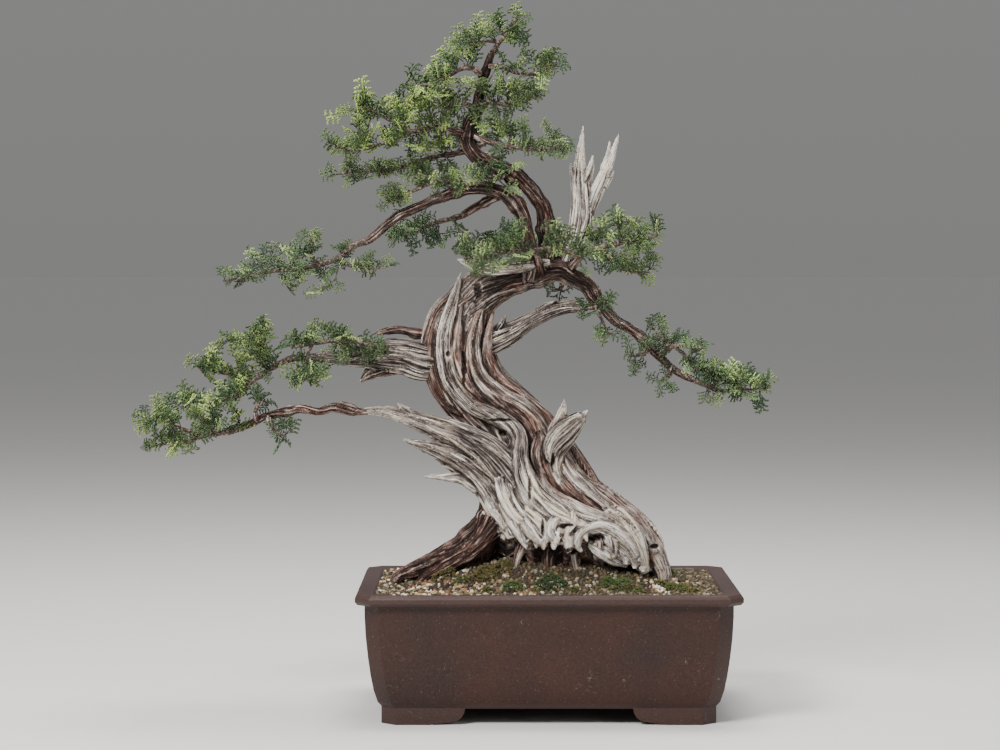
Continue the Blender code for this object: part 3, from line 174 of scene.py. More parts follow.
def setCoordinates(mesh, points):
    mesh.vertices.foreach_set("co", np.asarray(points, np.float32).ravel())
    mesh.update()


def settle(item):  # the evaluated object as a plain mesh, its modifiers removed
    graph = bpy.context.evaluated_depsgraph_get()
    result = bpy.data.meshes.new_from_object(item.evaluated_get(graph))
    item.modifiers.clear()
    item.data = result


def runTree(item, tree, sockets, values):
    grow = item.modifiers.new("Grow", "NODES")
    grow.node_group = tree
    for name, value in values.items():
        grow[sockets[name]] = value
    settle(item)


def collectionOf(name, items):  # shapes that a node tree sets out, and that aren't in the scene themselves
    made = bpy.data.collections.new(name)
    for item in items:
        bpy.context.scene.collection.objects.unlink(item)
        made.objects.link(item)
    return made


def removeShapes(collection):
    for item in list(collection.objects):
        bpy.data.objects.remove(item)


def keep(item, finish, replaced=()):
    item.data.materials.clear()
    item.data.materials.append(finish)
    item.data.polygons.foreach_set("material_index", [0] * len(item.data.polygons))
    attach(item, "root")
    if replaced:
        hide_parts(*replaced)


# Curves and noise

def smoothPath(points, step):
    points = np.asarray(points, float)
    padded = np.vstack((points[:1], points, points[-1:]))
    found = []
    for a, b, c, d in zip(padded, padded[1:], padded[2:], padded[3:]):
        cuts = max(1, round(float(np.linalg.norm((c - b)[:3])) / step))
        for i in range(cuts):
            t = i / cuts
            found.append(0.5 * (2 * b + (c - a) * t + (2 * a - 5 * b + 4 * c - d) * t * t
                                + (3 * b - a - 3 * c + d) * t ** 3))
    found.append(points[-1])
    return np.array(found)


def unit(vectors):
    return vectors / np.maximum(np.linalg.norm(vectors, axis=-1, keepdims=True), 1e-9)


def carriedFrames(centres):  # two directions across the line at each centre, which don't spin along it
    ways = unit(np.gradient(centres, axis=0))
    side = np.cross(ways[0], (0.0, 1.0, 0.0))
    if np.linalg.norm(side) < 0.3:
        side = np.cross(ways[0], (0.0, 0.0, 1.0))
    sides = []
    for way in ways:
        side = side - way * side.dot(way)
        side /= np.linalg.norm(side)
        sides.append(side)
    sides = np.array(sides)
    return sides, np.cross(ways, sides)


def wave(x, key):  # a smooth wander between about -1 and 1, the same for the same key
    rng = random.Random(key)
    return (np.sin(x + rng.uniform(0, 7)) + 0.6 * np.sin(2.17 * x + rng.uniform(0, 7))
            + 0.4 * np.sin(4.3 * x + rng.uniform(0, 7))) / 1.7


def latticeNoise(points):  # smooth noise between -1 and 1 at each point
    base = np.floor(points).astype(np.int64)
    part = points - base
    part = part * part * (3 - 2 * part)
    total = np.zeros(len(points))
    for corner in range(8):
        step = np.array((corner & 1, corner >> 1 & 1, corner >> 2 & 1))
        cell = base + step
        stirred = (cell[:, 0] * 73856093) ^ (cell[:, 1] * 19349663) ^ (cell[:, 2] * 83492791)
        stirred = (stirred ^ (stirred >> 13)) * 1274126177 & 0x7FFFFFFF
        weight = np.prod(np.where(step, part, 1 - part), axis=1)
        total += weight * ((stirred >> 7 & 0xFFFF) / 32767.5 - 1.0)
    return total


class MeshParts:  # gathers tubes into one mesh
    def __init__(self):
        self.verts, self.faces, self.count = [], [], 0

    def tube(self, centres, first, second, sides):  # first and second are half-width vectors at each centre
        turn = np.arange(sides) * 2 * math.pi / sides
        rings = (centres[:, None] + first[:, None] * np.cos(turn)[None, :, None]
                 + second[:, None] * np.sin(turn)[None, :, None])
        length = len(centres)
        grid = self.count + np.arange(length * sides).reshape(length, sides)
        after = np.roll(grid, -1, axis=1)
        quads = np.stack((grid[:-1], after[:-1], after[1:], grid[1:]), axis=-1).reshape(-1, 4)
        self.verts += [rings.reshape(-1, 3), centres[:1], centres[-1:]]
        startPoint = self.count + length * sides
        self.faces += quads.tolist()
        self.faces += [(startPoint, after[0, i], grid[0, i]) for i in range(sides)]
        self.faces += [(startPoint + 1, grid[-1, i], after[-1, i]) for i in range(sides)]
        self.count += length * sides + 2


# Wood: every limb is a bundle of strands that run along it, as the grain of twisted old wood does
woodShape = {
    "thickSpacing": 4.1,  # mm between the middles of strands round a thick limb
    "fineSpacing": 2.6,  # the same round a thin one
    "strandStep": 4.0,
    "strandWidth": 1.45,  # in even spacings, so that the strands overlap
    "thickLimb": 40,  # mm, half the thickness from which a limb's rings lie flat
    "wander": 0.42,  # how far strands drift sideways, in strand widths
    "ribDepth": 0.9,  # mm, of ribs along wide strands
    "grainDepth": 0.32,
    "flakeDepth": 1.1,  # of lifting plates of bark
    # Of ribs, fine grain, hairlines and flakes: length and width in mm, and a shift that keeps them apart
    "patterns": [(42, 2.6, 0), (28, 1.5, 5), (8, 1.1, 3), (9, 3.0, 9)],
    "voxel": {"juniperTrunk": 1.0, "juniperBranches": 0.95},  # mm
    "mostTriangles": {"juniperTrunk": 195000, "juniperBranches": 190000},
    "bleach": 0.27,  # how much paler the bare wood is at the foot
}

dead, live, mixed = 0.0, 1.0, 0.45  # how much of a limb is under bark


def grown(bark, path, flat=1.0, twist=0.3, gnarl=0.0, ragged=0, pale=0.45, veined=False):
    # ragged: how many steps its strands in front may start late; pale: how far its bare wood has bleached,
    # set lower on the right limb, the leader and the arch as painted shade;
    # veined: its bark follows the drawn veins
    return {"bark": bark, "path": path, "flat": flat, "twist": twist, "gnarl": gnarl, "ragged": ragged,
            "pale": pale, "veined": veined}


trunkLimbs = [
    # The twisting column, from its foot up to the fork
    grown(mixed, [
        (564, 574, 0, 101), (564, 552, 0, 99), (563, 536, 0, 96), (562, 520, 0, 86), (556, 500, 0, 69),
        (543, 477, 0, 51), (530, 452, 0, 42), (510, 425, 0, 37), (484, 401, 0, 36), (465, 377, 0, 37),
        (457, 350, 0, 35.5), (459, 325, 0, 32), (467, 307, 0, 25), (474, 292, 0, 19), (484, 280, 0, 14),
        (500, 274, 0, 9), (520, 271, 0, 5), (540, 269, 0, 2)], flat=0.72, twist=0.25, ragged=8, pale=0.42,
          veined=True),
    # Roots
    grown(0.85, [
        (508, 498, -12, 18), (490, 522, -16, 16), (466, 545, -18, 13), (440, 558, -18, 10),
        (414, 570, -16, 7.5), (398, 578, -14, 6), (391, 594, -12, 5)], twist=0.4, gnarl=0.1, pale=0.3),
    grown(live, [
        (500, 510, -20, 16), (486, 534, -24, 15), (468, 553, -26, 11), (446, 567, -24, 8), (424, 580, -20, 6),
        (412, 598, -18, 5)], twist=0.4, gnarl=0.1, pale=0.3),
    grown(live, [(498, 505, 5, 18), (490, 540, 0, 16), (484, 570, -2, 13), (482, 606, -2, 10)], gnarl=0.1),
    grown(mixed, [
        (596, 508, -12, 24), (628, 530, -20, 20), (650, 550, -26, 14), (660, 567, -28, 10),
        (664, 584, -28, 7), (667, 604, -28, 5)], gnarl=0.08),
    grown(live, [(596, 512, 16, 24), (636, 541, 28, 16), (658, 566, 34, 11), (676, 604, 38, 8)]),
    grown(live, [(550, 462, 4, 24), (555, 496, 16, 35), (560, 548, 32, 36), (562, 606, 36, 26)]),
    grown(live, [(600, 516, 8, 30), (614, 544, 14, 26), (624, 576, 16, 20), (628, 600, 16, 14)]),
    grown(live, [(534, 474, 8, 16), (524, 506, 24, 22), (506, 548, 52, 18), (494, 602, 68, 11)]),
    grown(live, [(556, 528, -30, 16), (550, 558, -44, 8), (547, 604, -46, 5)], pale=0.3),
    # The fan of bare wood at the left
    grown(dead, [
        (536, 520, -44, 24), (516, 488, -40, 24), (492, 460, -36, 21), (465, 441, -34, 16),
        (438, 429, -32, 12), (412, 419, -28, 9), (388, 412, -24, 6), (366, 411, -19, 3.6)], flat=0.55,
          twist=0.1, pale=0.38),
    grown(dead, [
        (520, 535, -46, 14), (504, 500, -42, 17), (482, 474, -38, 14), (456, 457, -38, 10),
        (430, 447, -38, 6.5), (414, 443, -38, 4), (402, 439, -38, 1)], flat=0.55, twist=0.1, pale=0.36),
    grown(dead, [
        (512, 530, -34, 14), (498, 505, -30, 14), (478, 484, -30, 9), (456, 469, -30, 5.5),
        (434, 459, -30, 1)],
        flat=0.55, twist=0.1, pale=0.38),
    grown(dead, [(478, 488, -34, 8), (462, 479, -36, 6), (446, 477.5, -38, 4), (434, 477, -38, 2.6),
                 (423, 477, -38, 0.9)],
          flat=0.6),
    grown(dead, [(424, 424, -30, 8), (408, 412, -28, 4), (397, 403, -28, 0.8)], flat=0.6),
    grown(dead, [(478, 447, -30, 14), (462, 432, -28, 7), (447, 418, -26, 3)], flat=0.6),
    grown(dead, [(452, 462, -34, 5), (436, 455, -36, 3), (421, 452, -37, 0.8)], flat=0.6),
    grown(dead, [(470, 478, -32, 5), (452, 468, -34, 3), (441, 466, -35, 0.8)], flat=0.6),
    # The horn: its grain rises out of the trunk and turns to the right
    grown(dead, [
        (553, 464, -36, 3), (552, 456, -38, 7), (553, 448, -40, 10), (558, 439, -41, 12.5),
        (566, 431, -42, 12.5), (574, 424, -44, 10), (580, 419, -45, 7.5), (583, 416, -46, 6)], flat=0.8,
          twist=0.4, pale=0.42),
    grown(dead, [(575, 424, -44, 5), (583, 416, -46, 3.6), (588, 410, -47, 0.9)], pale=0.5),
    grown(dead, [(556, 432, -38, 9), (561, 418, -40, 6), (563, 410, -40, 4), (565, 399, -41, 0.9)], pale=0.5),
    grown(dead, [(566, 432, -40, 8), (577, 423, -44, 5.5), (586, 418, -47, 1.4)], pale=0.5),
    grown(dead, [(570, 438, -36, 7), (561, 452, -38, 5), (557, 466, -40, 4), (561, 480, -42, 1)], flat=0.7),
    # Ridges that stand out of the trunk's face: the pale ribbon, the red vein and what winds beside them
    grown(dead, [
        (461, 272, -6, 1), (454, 298, -16, 5), (446, 325, -23, 7), (444, 350, -25, 8), (451, 380, -26, 8.5),
        (470, 403, -27, 8.5), (497, 417, -29, 8.5), (517, 434, -32, 8.5), (518, 462, -42, 11),
        (532, 496, -54, 13), (566, 520, -60, 11), (604, 534, -60, 4)], flat=0.6, twist=0.6, pale=0.42,
          veined=True),
    grown(0.6, [
        (484, 300, -14, 1), (476, 322, -20, 6), (471, 350, -24, 9), (478, 378, -24, 10), (499, 397, -24, 11),
        (528, 417, -24, 12), (547, 448, -26, 13), (570, 482, -34, 16), (608, 511, -42, 15),
        (638, 534, -38, 12), (656, 556, -34, 4)], flat=0.55, twist=0.5, pale=0.5, veined=True),
    grown(0.6, [
        (494, 310, -12, 1), (486, 352, -18, 6), (498, 380, -16, 7), (522, 398, -12, 7), (545, 420, -8, 8),
        (561, 448, -6, 10), (580, 479, -10, 11), (604, 503, -16, 9), (628, 523, -18, 3)],
        flat=0.7, twist=0.4, pale=0.5, veined=True),
    grown(0.4, [(461, 300, -16, 1), (459, 330, -24, 4), (459, 360, -27, 5), (470, 386, -28, 4),
                (486, 402, -28, 1)],
          flat=0.5, veined=True),
    grown(live, [(438, 316, -4, 1), (430, 348, -10, 4), (432, 378, -12, 5), (444, 402, -14, 4),
                 (462, 414, -18, 1)],
          flat=0.6, pale=0.25, veined=True),
    grown(0.7, [(532, 424, -24, 2), (540, 438, -30, 6), (537, 456, -34, 7), (544, 476, -38, 6),
                (560, 496, -42, 2)],
          flat=0.6, twist=0.5, veined=True),
    grown(0.2, [(540, 470, -38, 2), (548, 494, -50, 8), (576, 512, -56, 10), (606, 524, -54, 9),
                (632, 544, -48, 6), (644, 562, -44, 2)], flat=0.6, twist=0.5, pale=0.55, veined=True),
    grown(0.1, [(504, 448, -24, 1), (502, 478, -44, 8), (512, 506, -56, 9), (528, 524, -60, 7),
                (544, 536, -62, 1)],
          flat=0.6, twist=0.5, pale=0.55),
    # Its ragged foot: tongues that lean along the flow, a curl round the hollow, pale wood at the right
    grown(dead, [(484, 486, -38, 3), (492, 506, -46, 6), (500, 518, -50, 5), (504, 530, -52, 1)], flat=0.6,
          pale=0.46),
    grown(dead, [(498, 494, -46, 5), (510, 514, -54, 7), (520, 533, -60, 6), (527, 550, -62, 1.4)], flat=0.6,
          pale=0.5),
    grown(dead, [(512, 506, -54, 6), (526, 524, -61, 6), (535, 536, -63, 5), (537, 550, -64, 1.2)], flat=0.6,
          pale=0.5),
    grown(dead, [(518, 512, -57, 5), (530, 529, -63, 7.5), (540, 540, -64, 6), (547, 547, -64, 2.5)],
          flat=0.6, pale=0.48),
    grown(dead, [(526, 510, -58, 5), (540, 522, -64, 6), (546, 532, -65, 4), (547, 540, -66, 1.2)], flat=0.6,
          pale=0.5),
    grown(dead, [(566, 514, -58, 6), (554, 521, -64, 5.5), (550, 532, -66, 5), (555, 542, -66, 3.5),
                 (564, 545, -64, 1.2)],
          flat=0.7, pale=0.5),
    grown(dead, [(572, 512, -58, 6), (572, 524, -64, 5), (568, 534, -65, 3), (571, 541, -64, 1)], flat=0.7,
          pale=0.46),
    grown(dead, [(582, 553, -60, 2), (577, 544, -62, 4.5), (580, 535, -63, 5), (591, 528, -63, 4.5),
                 (605, 527, -61, 5), (619, 534, -58, 5.5), (631, 547, -54, 5), (640, 563, -50, 1.6)],
          flat=0.7, pale=0.46),
    grown(0.1, [(600, 508, -42, 12), (616, 524, -45, 17), (629, 541, -47, 16), (639, 558, -45, 11),
                (646, 574, -42, 4)],
          flat=0.6, pale=0.48),
    grown(0.2, [(606, 520, -54, 5), (624, 536, -54, 6), (636, 554, -50, 4), (641, 567, -47, 1)], flat=0.7,
          pale=0.46),
    grown(dead, [(589, 545, -52, 4), (601, 551, -56, 7.5), (615, 558, -54, 8), (628, 566, -50, 3)], flat=0.6,
          pale=0.46),
    grown(0.15, [(600, 538, -48, 4), (613, 545, -52, 8), (626, 555, -51, 8), (637, 565, -47, 3)], flat=0.6,
          pale=0.46),
    grown(0.3, [(592, 538, -46, 3), (604, 547, -48, 4), (618, 558, -49, 4), (628, 567, -48, 1.4)], flat=0.8,
          pale=0.5),
    grown(0.3, [(598, 534, -46, 2), (612, 543, -50, 3), (622, 553, -50, 1.4)], flat=0.8, pale=0.5),
    grown(0.2, [(604, 514, -50, 8), (626, 530, -50, 9), (640, 548, -47, 7), (648, 566, -43, 2)], flat=0.6,
          pale=0.46),
    grown(0.7, [(534, 532, -30, 9), (522, 548, -40, 6), (516, 566, -44, 3), (512, 590, -44, 2)]),
    grown(0.8, [(570, 536, -30, 10), (574, 556, -44, 6), (577, 580, -50, 4), (576, 600, -50, 3)]),
]

branchLimbs = [
    # The right limb: its low pale is partly painted shade
    grown(0.55, [
        (462, 318, 0, 20), (482, 297, 0, 19), (503, 286, 0, 14), (522, 281, 0, 12.5), (542, 274, 0, 12.5),
        (558, 270, 0, 11.5), (574, 278, 2, 9.5), (588, 287, 2, 8.5), (598, 301, 0, 7.2), (611, 316, 0, 6),
        (626, 326, 0, 5.4), (640, 336, 0, 5), (652, 350, 0, 4.8), (667, 363, 0, 4.3), (681, 374, 0, 3.7),
        (695, 380, 0, 3.2)], twist=0.8, gnarl=0.16, pale=0.34),
    # The leader: its low pale is partly painted shade
    grown(0.8, [
        (536, 282, 2, 11), (548, 262, 4, 12.5), (548, 240, 4, 10.5), (542, 207, 2, 8.5), (528, 186, 0, 8.5),
        (511, 174, 0, 8.5), (493, 166, 0, 8.5), (478, 157, 0, 8.5), (469, 143, 0, 8), (471, 125, 0, 7.5),
        (476, 108, 0, 6.5), (479, 95, 0, 5.5), (484, 78, 0, 4.5), (489, 64, 0, 3.8), (492, 54, 0, 3)],
        twist=0.8, gnarl=0.2, pale=0.28),
    # The arch: its low pale is partly painted shade
    grown(0.55, [
        (530, 280, -6, 10), (531, 258, -12, 9), (526, 232, -16, 8), (520, 211, -16, 7.6),
        (506, 195, -14, 7.2), (485, 188, -12, 6.6), (462, 191, -12, 6), (440, 198, -12, 5.5),
        (420, 206, -12, 5), (400, 216, -12, 5), (385, 227, -12, 4.6), (375, 236, -12, 4.2),
        (368, 241, -12, 3.8)], twist=0.8, gnarl=0.16, pale=0.3),
    grown(0.1, [
        (456, 362, 10, 12), (438, 362, 3, 18), (420, 361, -5, 18.5), (405, 357, -8, 17.5),
        (388, 355.5, -8, 16.5), (372, 355, -8, 14), (356, 357, -8, 10), (342, 358, -8, 7), (322, 357, -8, 5),
        (304, 357, -8, 4)], pale=0.48),
    grown(live, [
        (384, 411, -20, 4), (364, 411, -18, 3.8), (350, 409, -16, 5.2), (335, 408, -16, 5.6),
        (318, 412, -14, 4), (300, 409, -14, 4.5), (282, 412, -14, 4.4), (262, 418, -14, 4.2),
        (248, 425, -14, 3.8), (238, 429, -14, 3.5)],
        twist=3.0, gnarl=0.24),
    grown(live, [(502, 193, -12, 6), (488, 200, 6, 4.4), (474, 208, 18, 3.8), (462, 216, 24, 3.2)],
          gnarl=0.2),
    # The grey branch
    grown(dead, [
        (478, 348, 0, 14), (497, 338, 0, 13.5), (513, 331, 0, 10), (530, 321, 0, 8.5), (548, 312, 0, 8),
        (566, 307, 0, 6.8), (584, 306.5, 0, 5.6)]),
    grown(dead, [(494, 336, -3, 7), (501, 325, -5, 4), (506.5, 315, -6, 0.9)]),
    grown(dead, [(536, 316, -2, 5), (547, 305, -4, 3), (557.5, 299.5, -5, 0.8)]),
    grown(dead, [(500, 345, 0, 6), (512, 342, 0, 4), (523, 337, -1, 1)]),
    # The bare ledge over the fork
    grown(dead, [(457, 259, -20, 0.9), (466, 263, -21, 3.6), (482, 268, -21, 6), (504, 268, -20, 6.5),
                 (528, 265, -18, 6), (550, 262, -14, 3)], flat=0.6, pale=0.6),
    # The upright fork
    grown(dead, [
        (560, 270, 10, 9), (574, 245, 8, 11), (581, 222, 6, 12), (582, 200, 4, 11), (580, 178, 4, 8.5),
        (580, 158, 4, 5), (583, 126, 4, 0.9)], flat=0.75, twist=0.1, pale=0.8),
    grown(dead, [(585, 215, 4, 8), (595, 195, 2, 7), (604, 175, 0, 5.5), (611, 157, -1, 4),
                 (619, 133, -2, 0.8)],
          flat=0.75, twist=0.1, pale=0.8),
    grown(dead, [(580, 190, 6, 7), (574, 177, 6, 4), (570, 163, 6, 0.8)], flat=0.75, pale=0.8),
    grown(dead, [(584, 184, 2, 6), (590, 170, 0, 3.4), (593, 155, 0, 0.8)], flat=0.75, pale=0.8),
    grown(dead, [(604, 170, 0, 4), (608, 155, 1, 2.2), (609, 141, 2, 0.7)], flat=0.75, pale=0.8),
    grown(dead, [(604, 186, 0, 4), (610, 178, 0, 2.2), (614, 171, 0, 0.8)], flat=0.75, pale=0.8),
    # Stubs at the left
    grown(0.4, [(416, 364, -4, 9), (400, 364, -6, 9.5), (384, 367, -6, 9), (372, 372, -6, 7),
                (364, 378, -6, 4), (360, 382, -6, 1.2)]),
    grown(live, [(436, 336, 6, 6), (412, 333, 8, 4.6), (394, 330, 9, 4), (376, 334, 10, 2.4)], gnarl=0.25),
]

# Where bark is left on the front of the trunk, as (across, down, half width)
barkVeins = [
    [(432, 330, 6), (430, 360, 8), (436, 385, 9), (447, 408, 8), (460, 414, 4)],
    [(462, 335, 4), (464, 360, 8), (470, 385, 9), (484, 400, 8), (510, 405, 9), (530, 425, 9), (532, 452, 9),
     (548, 480, 9), (578, 500, 8), (606, 512, 8), (634, 536, 8), (652, 566, 8)],
    [(490, 300, 9), (494, 340, 9), (496, 372, 7), (525, 395, 6), (552, 420, 8), (575, 452, 12),
     (600, 485, 8)],
    [(505, 500, 10), (484, 525, 16), (455, 550, 18), (414, 568, 14)],
    [(545, 440, 6), (540, 462, 6)],
]

# How many steps above its lowest ring the ragged foot starts in front, from left to right
raggedLine = {"across": (464, 491, 512, 529, 545, 560, 575, 590, 604, 664),
              "steps": (17, 15, 12, 8, 11, 8, 10, 11, 5, 3)}

# Hollows pressed into the wood, as (across, down, half width, half height, depth)
hollows = [
    (478, 291, 4.5, 9, 4), (503, 433, 5, 4, 6), (563, 527, 5, 3, 6), (543, 528, 2.5, 8, 6),
    (597, 538, 9, 4.5, 8), (553, 462, 2.5, 9, 5), (569, 526, 5, 2.5, 6), (655, 547, 5, 3, 5),
    (448, 354, 2.5, 3.5, 2.5), (464, 368, 3, 18, 4), (572, 552, 6, 4, 8), (500, 420, 14, 2, 3),
    (530, 488, 2.5, 14, 4),
]


class Strands:  # samples along every strand, to find the grain near any place on the surface
    def __init__(self):
        self.columns = {key: [] for key in ("place", "way", "out", "width", "run", "bark", "pale", "veined",
                                            "name")}

    def add(self, **values):
        for key, value in values.items():
            self.columns[key].append(value)

    def finish(self):
        for key, value in self.columns.items():
            setattr(self, key, np.concatenate(value))
        self.tree = KDTree(len(self.place))
        for i, place in enumerate(self.place):
            self.tree.insert(place, i)
        self.tree.balance()

    def nearest(self, points):
        return np.array([self.tree.find(point)[1] for point in points])


def bundle(parts, strands, number, limb):
    flat, gnarl = limb["flat"], limb["gnarl"]
    places = smoothPath(limb["path"], woodShape["strandStep"])
    centres, thick = drawn(places), places[:, 3]
    run = np.concatenate(((0,), np.cumsum(np.linalg.norm(np.diff(centres, axis=0), axis=1))))
    sides, acrosses = carriedFrames(centres)
    level = np.clip((thick - woodShape["thickLimb"]) / 14, 0, 1)[:, None]
    sides = unit(sides * (1 - level) + unit(sides * (1.0, 1.0, 0.0)) * level)
    fade = np.minimum(1, np.minimum(run, run[-1] - run) / 20)
    knots = np.maximum(0, wave(run / 11, number + 900)) ** 2
    thick = thick * (1 + gnarl * fade * (1.6 * knots - 0.35))
    bend = 5 * gnarl * fade * np.minimum(1, thick / 5)
    centres = centres + sides * (bend * wave(run / 12, number + 700))[:, None]
    girth = math.pi * float(np.median(thick)) * (1 + flat)
    spacing = np.interp(np.median(thick), (3, 25), (woodShape["fineSpacing"], woodShape["thickSpacing"]))
    count = max(5, round(girth / spacing))
    # Where a limb is thicker than this, more strands lie between the others
    wide = 1.7 * float(np.median(thick))
    extra = round((thick.max() - wide) * math.pi / spacing) if thick.max() > woodShape["thickLimb"] else 0
    rng = random.Random(number)
    inner = (thick * (1 - 1.7 / count) * 0.94)[:, None]
    if limb["ragged"]:
        inner = inner * np.clip(0.55 + 0.036 * np.arange(len(run)), 0, 1)[:, None]
    parts.tube(centres, sides * inner, acrosses * inner * flat, 12)

    def lateAt(turn):  # how many steps late a strand starts, along the trunk's ragged lower edge
        across = centres[0, 0] + sheet["middle"] + (sides[0, 0] * math.cos(turn)) * thick[0]
        return int(np.interp(across, raggedLine["across"], raggedLine["steps"]))

    for i in range(count + extra):
        key = number * 100 + i
        angle = 2 * math.pi * (i + rng.uniform(-0.25, 0.25)) / count
        width = thick * math.pi / count * woodShape["strandWidth"] * rng.uniform(0.74, 1.3)
        width = width * (1 + 0.22 * wave(run / 26, key + 31))
        late = rng.randrange(0, 3) if len(run) > 12 else 0
        if limb["ragged"] and math.sin(angle) > -0.1:
            late = lateAt(angle) + rng.randrange(-2, 4)
        cut = slice(late, len(run) - (rng.randrange(0, 4) if thick[-1] < 2.5 and len(run) > 12 else 0))
        if limb["ragged"]:
            width = width * np.clip(0.2 + 0.17 * (np.arange(len(run)) - late), 0.2, 1)
        if i >= count:
            angle = rng.uniform(0, 2 * math.pi)
            shown = np.flatnonzero(thick > wide * rng.uniform(0.8, 1.5))
            cut = slice(shown[0], shown[-1] + 1)
            width = rng.uniform(2.4, 4.4) * np.clip(0.3 + 0.14 * (shown[-1] - np.arange(len(run))), 0.3, 1)
            if limb["ragged"]:
                late = lateAt(angle) if math.sin(angle) > -0.1 else 0
                late += rng.randrange(0, limb["ragged"])
                cut = slice(cut.start + late, cut.stop)
                width = width * np.clip(0.2 + 0.15 * (np.arange(len(run)) - late), 0.2, 1)
        if cut.stop - cut.start < 3:
            continue
        angle = (angle + 2 * math.pi * limb["twist"] * run / 1000
                 + woodShape["wander"] * 2 * math.pi / count * wave(run / 34, key))
        reach = thick * (1 + 0.05 * wave(run / 40, key + 57)) - width * 0.9
        spoke = sides * np.cos(angle)[:, None] + acrosses * (flat * np.sin(angle))[:, None]
        out = unit(spoke)
        where = centres + spoke * reach[:, None]
        along = unit(np.gradient(where, axis=0))
        over = np.cross(along, out)
        parts.tube(where[cut], (out * width[:, None])[cut], (over * width[:, None])[cut], 6)
        bark = limb["bark"] + (0.22 * rng.uniform(-1, 1) if 0 < limb["bark"] < 1 else 0)
        strands.add(place=where[cut], way=along[cut], out=out[cut], width=width[cut],
                    run=run[cut] + 300 * number,
                    **{label: np.full(cut.stop - cut.start, value) for label, value in (
                        ("bark", bark), ("pale", limb["pale"]), ("veined", limb["veined"]), ("name", key))})


def onSheet(points):  # where places in the row show on the sheet
    share = (0 - sheet["eye"][1]) / (points[:, 1] - sheet["eye"][1])
    flat = sheet["eye"] + (points - sheet["eye"]) * share[:, None]
    return np.stack((flat[:, 0] + sheet["middle"], sheet["foot"] - flat[:, 2]), axis=1)


def nearVein(spots, vein):  # 1 in the middle of a drawn vein, 0 at its edge and beyond
    path = smoothPath([(x, y, 0, w) for x, y, w in vein], 4.0)
    gaps = np.linalg.norm(spots[:, None] - path[None, :, :2], axis=2) / path[None, :, 3]
    return np.clip(1.3 - gaps.min(axis=1), 0, 1)


def flatten(mesh, points, rounds, share=0.5):  # evens out the surface
    edges = np.empty(len(mesh.edges) * 2, np.int32)
    mesh.edges.foreach_get("vertices", edges)
    a, b = edges.reshape(-1, 2).T
    count = len(points)
    near = np.bincount(a, minlength=count) + np.bincount(b, minlength=count)
    near = np.maximum(near, 1)[:, None]
    for _ in range(rounds):
        total = np.stack([np.bincount(a, points[b, k], count) + np.bincount(b, points[a, k], count)
                          for k in range(3)], axis=1)
        points = points + share * (total / near - points)
    return points


def grainAt(strands, points):
    near = strands.nearest(points)
    offset = points - strands.place[near]
    along = (offset * strands.way[near]).sum(axis=1)
    outward = (offset * strands.out[near]).sum(axis=1)
    sideways = (offset * np.cross(strands.way[near], strands.out[near])).sum(axis=1)
    across = np.arctan2(sideways, np.maximum(outward, 0.2)) * strands.width[near]
    return near, strands.run[near] + along, across


def carve(wood, strands):
    remesh = wood.modifiers.new("Fuse", "REMESH")
    remesh.mode = "VOXEL"
    remesh.voxel_size = woodShape["voxel"][wood.name] * 0.001
    settle(wood)
    points = flatten(wood.data, fromRow(vectorsOf(wood.data.vertices, "co")), 2)
    setCoordinates(wood.data, inRow(points))
    normals = vectorsOf(wood.data.vertex_normals, "vector")
    spots = onSheet(points)
    for across, down, wide, high, depth in hollows:
        gap = ((spots[:, 0] - across) / wide) ** 2 + ((spots[:, 1] - down) / high) ** 2
        gap = gap * (1 + 0.35 * latticeNoise(points / 5.0))
        points[:, 1] += np.clip(1 - gap, 0, 1) * depth * np.clip(-normals[:, 1] * 2, 0, 1)
    near, run, across = grainAt(strands, points)
    lane, width, bark = strands.name[near] * 7.3, strands.width[near], strands.bark[near]
    ribs, fine, hair, flakes = (
        latticeNoise(np.stack((run / length, across / breadth, lane + shift), axis=1))
        for length, breadth, shift in woodShape["patterns"])
    points += normals * (woodShape["ribDepth"] * np.clip(width / 5, 0.3, 1.6) * (1 - 2 * np.abs(ribs))
                         + woodShape["grainDepth"] * (fine + 0.6 * hair)
                         + woodShape["flakeDepth"] * bark * np.clip(flakes, -0.4, 0.5)
                         + 0.2 * latticeNoise(points / 4.5))[:, None]
    setCoordinates(wood.data, inRow(points))
    triangles = len(wood.data.polygons) * 2
    if triangles > woodShape["mostTriangles"][wood.name]:
        thin = wood.modifiers.new("Thin", "DECIMATE")
        thin.ratio = woodShape["mostTriangles"][wood.name] / triangles
        settle(wood)
    print(wood.name, "carved:", triangles, "triangles, thinned to", len(wood.data.polygons))


def spreadOut(values):  # so that nearly all of them lie between 0 and 1
    low, high = np.percentile(values, (4, 96))
    return np.clip((values - low) / (high - low), 0, 1)


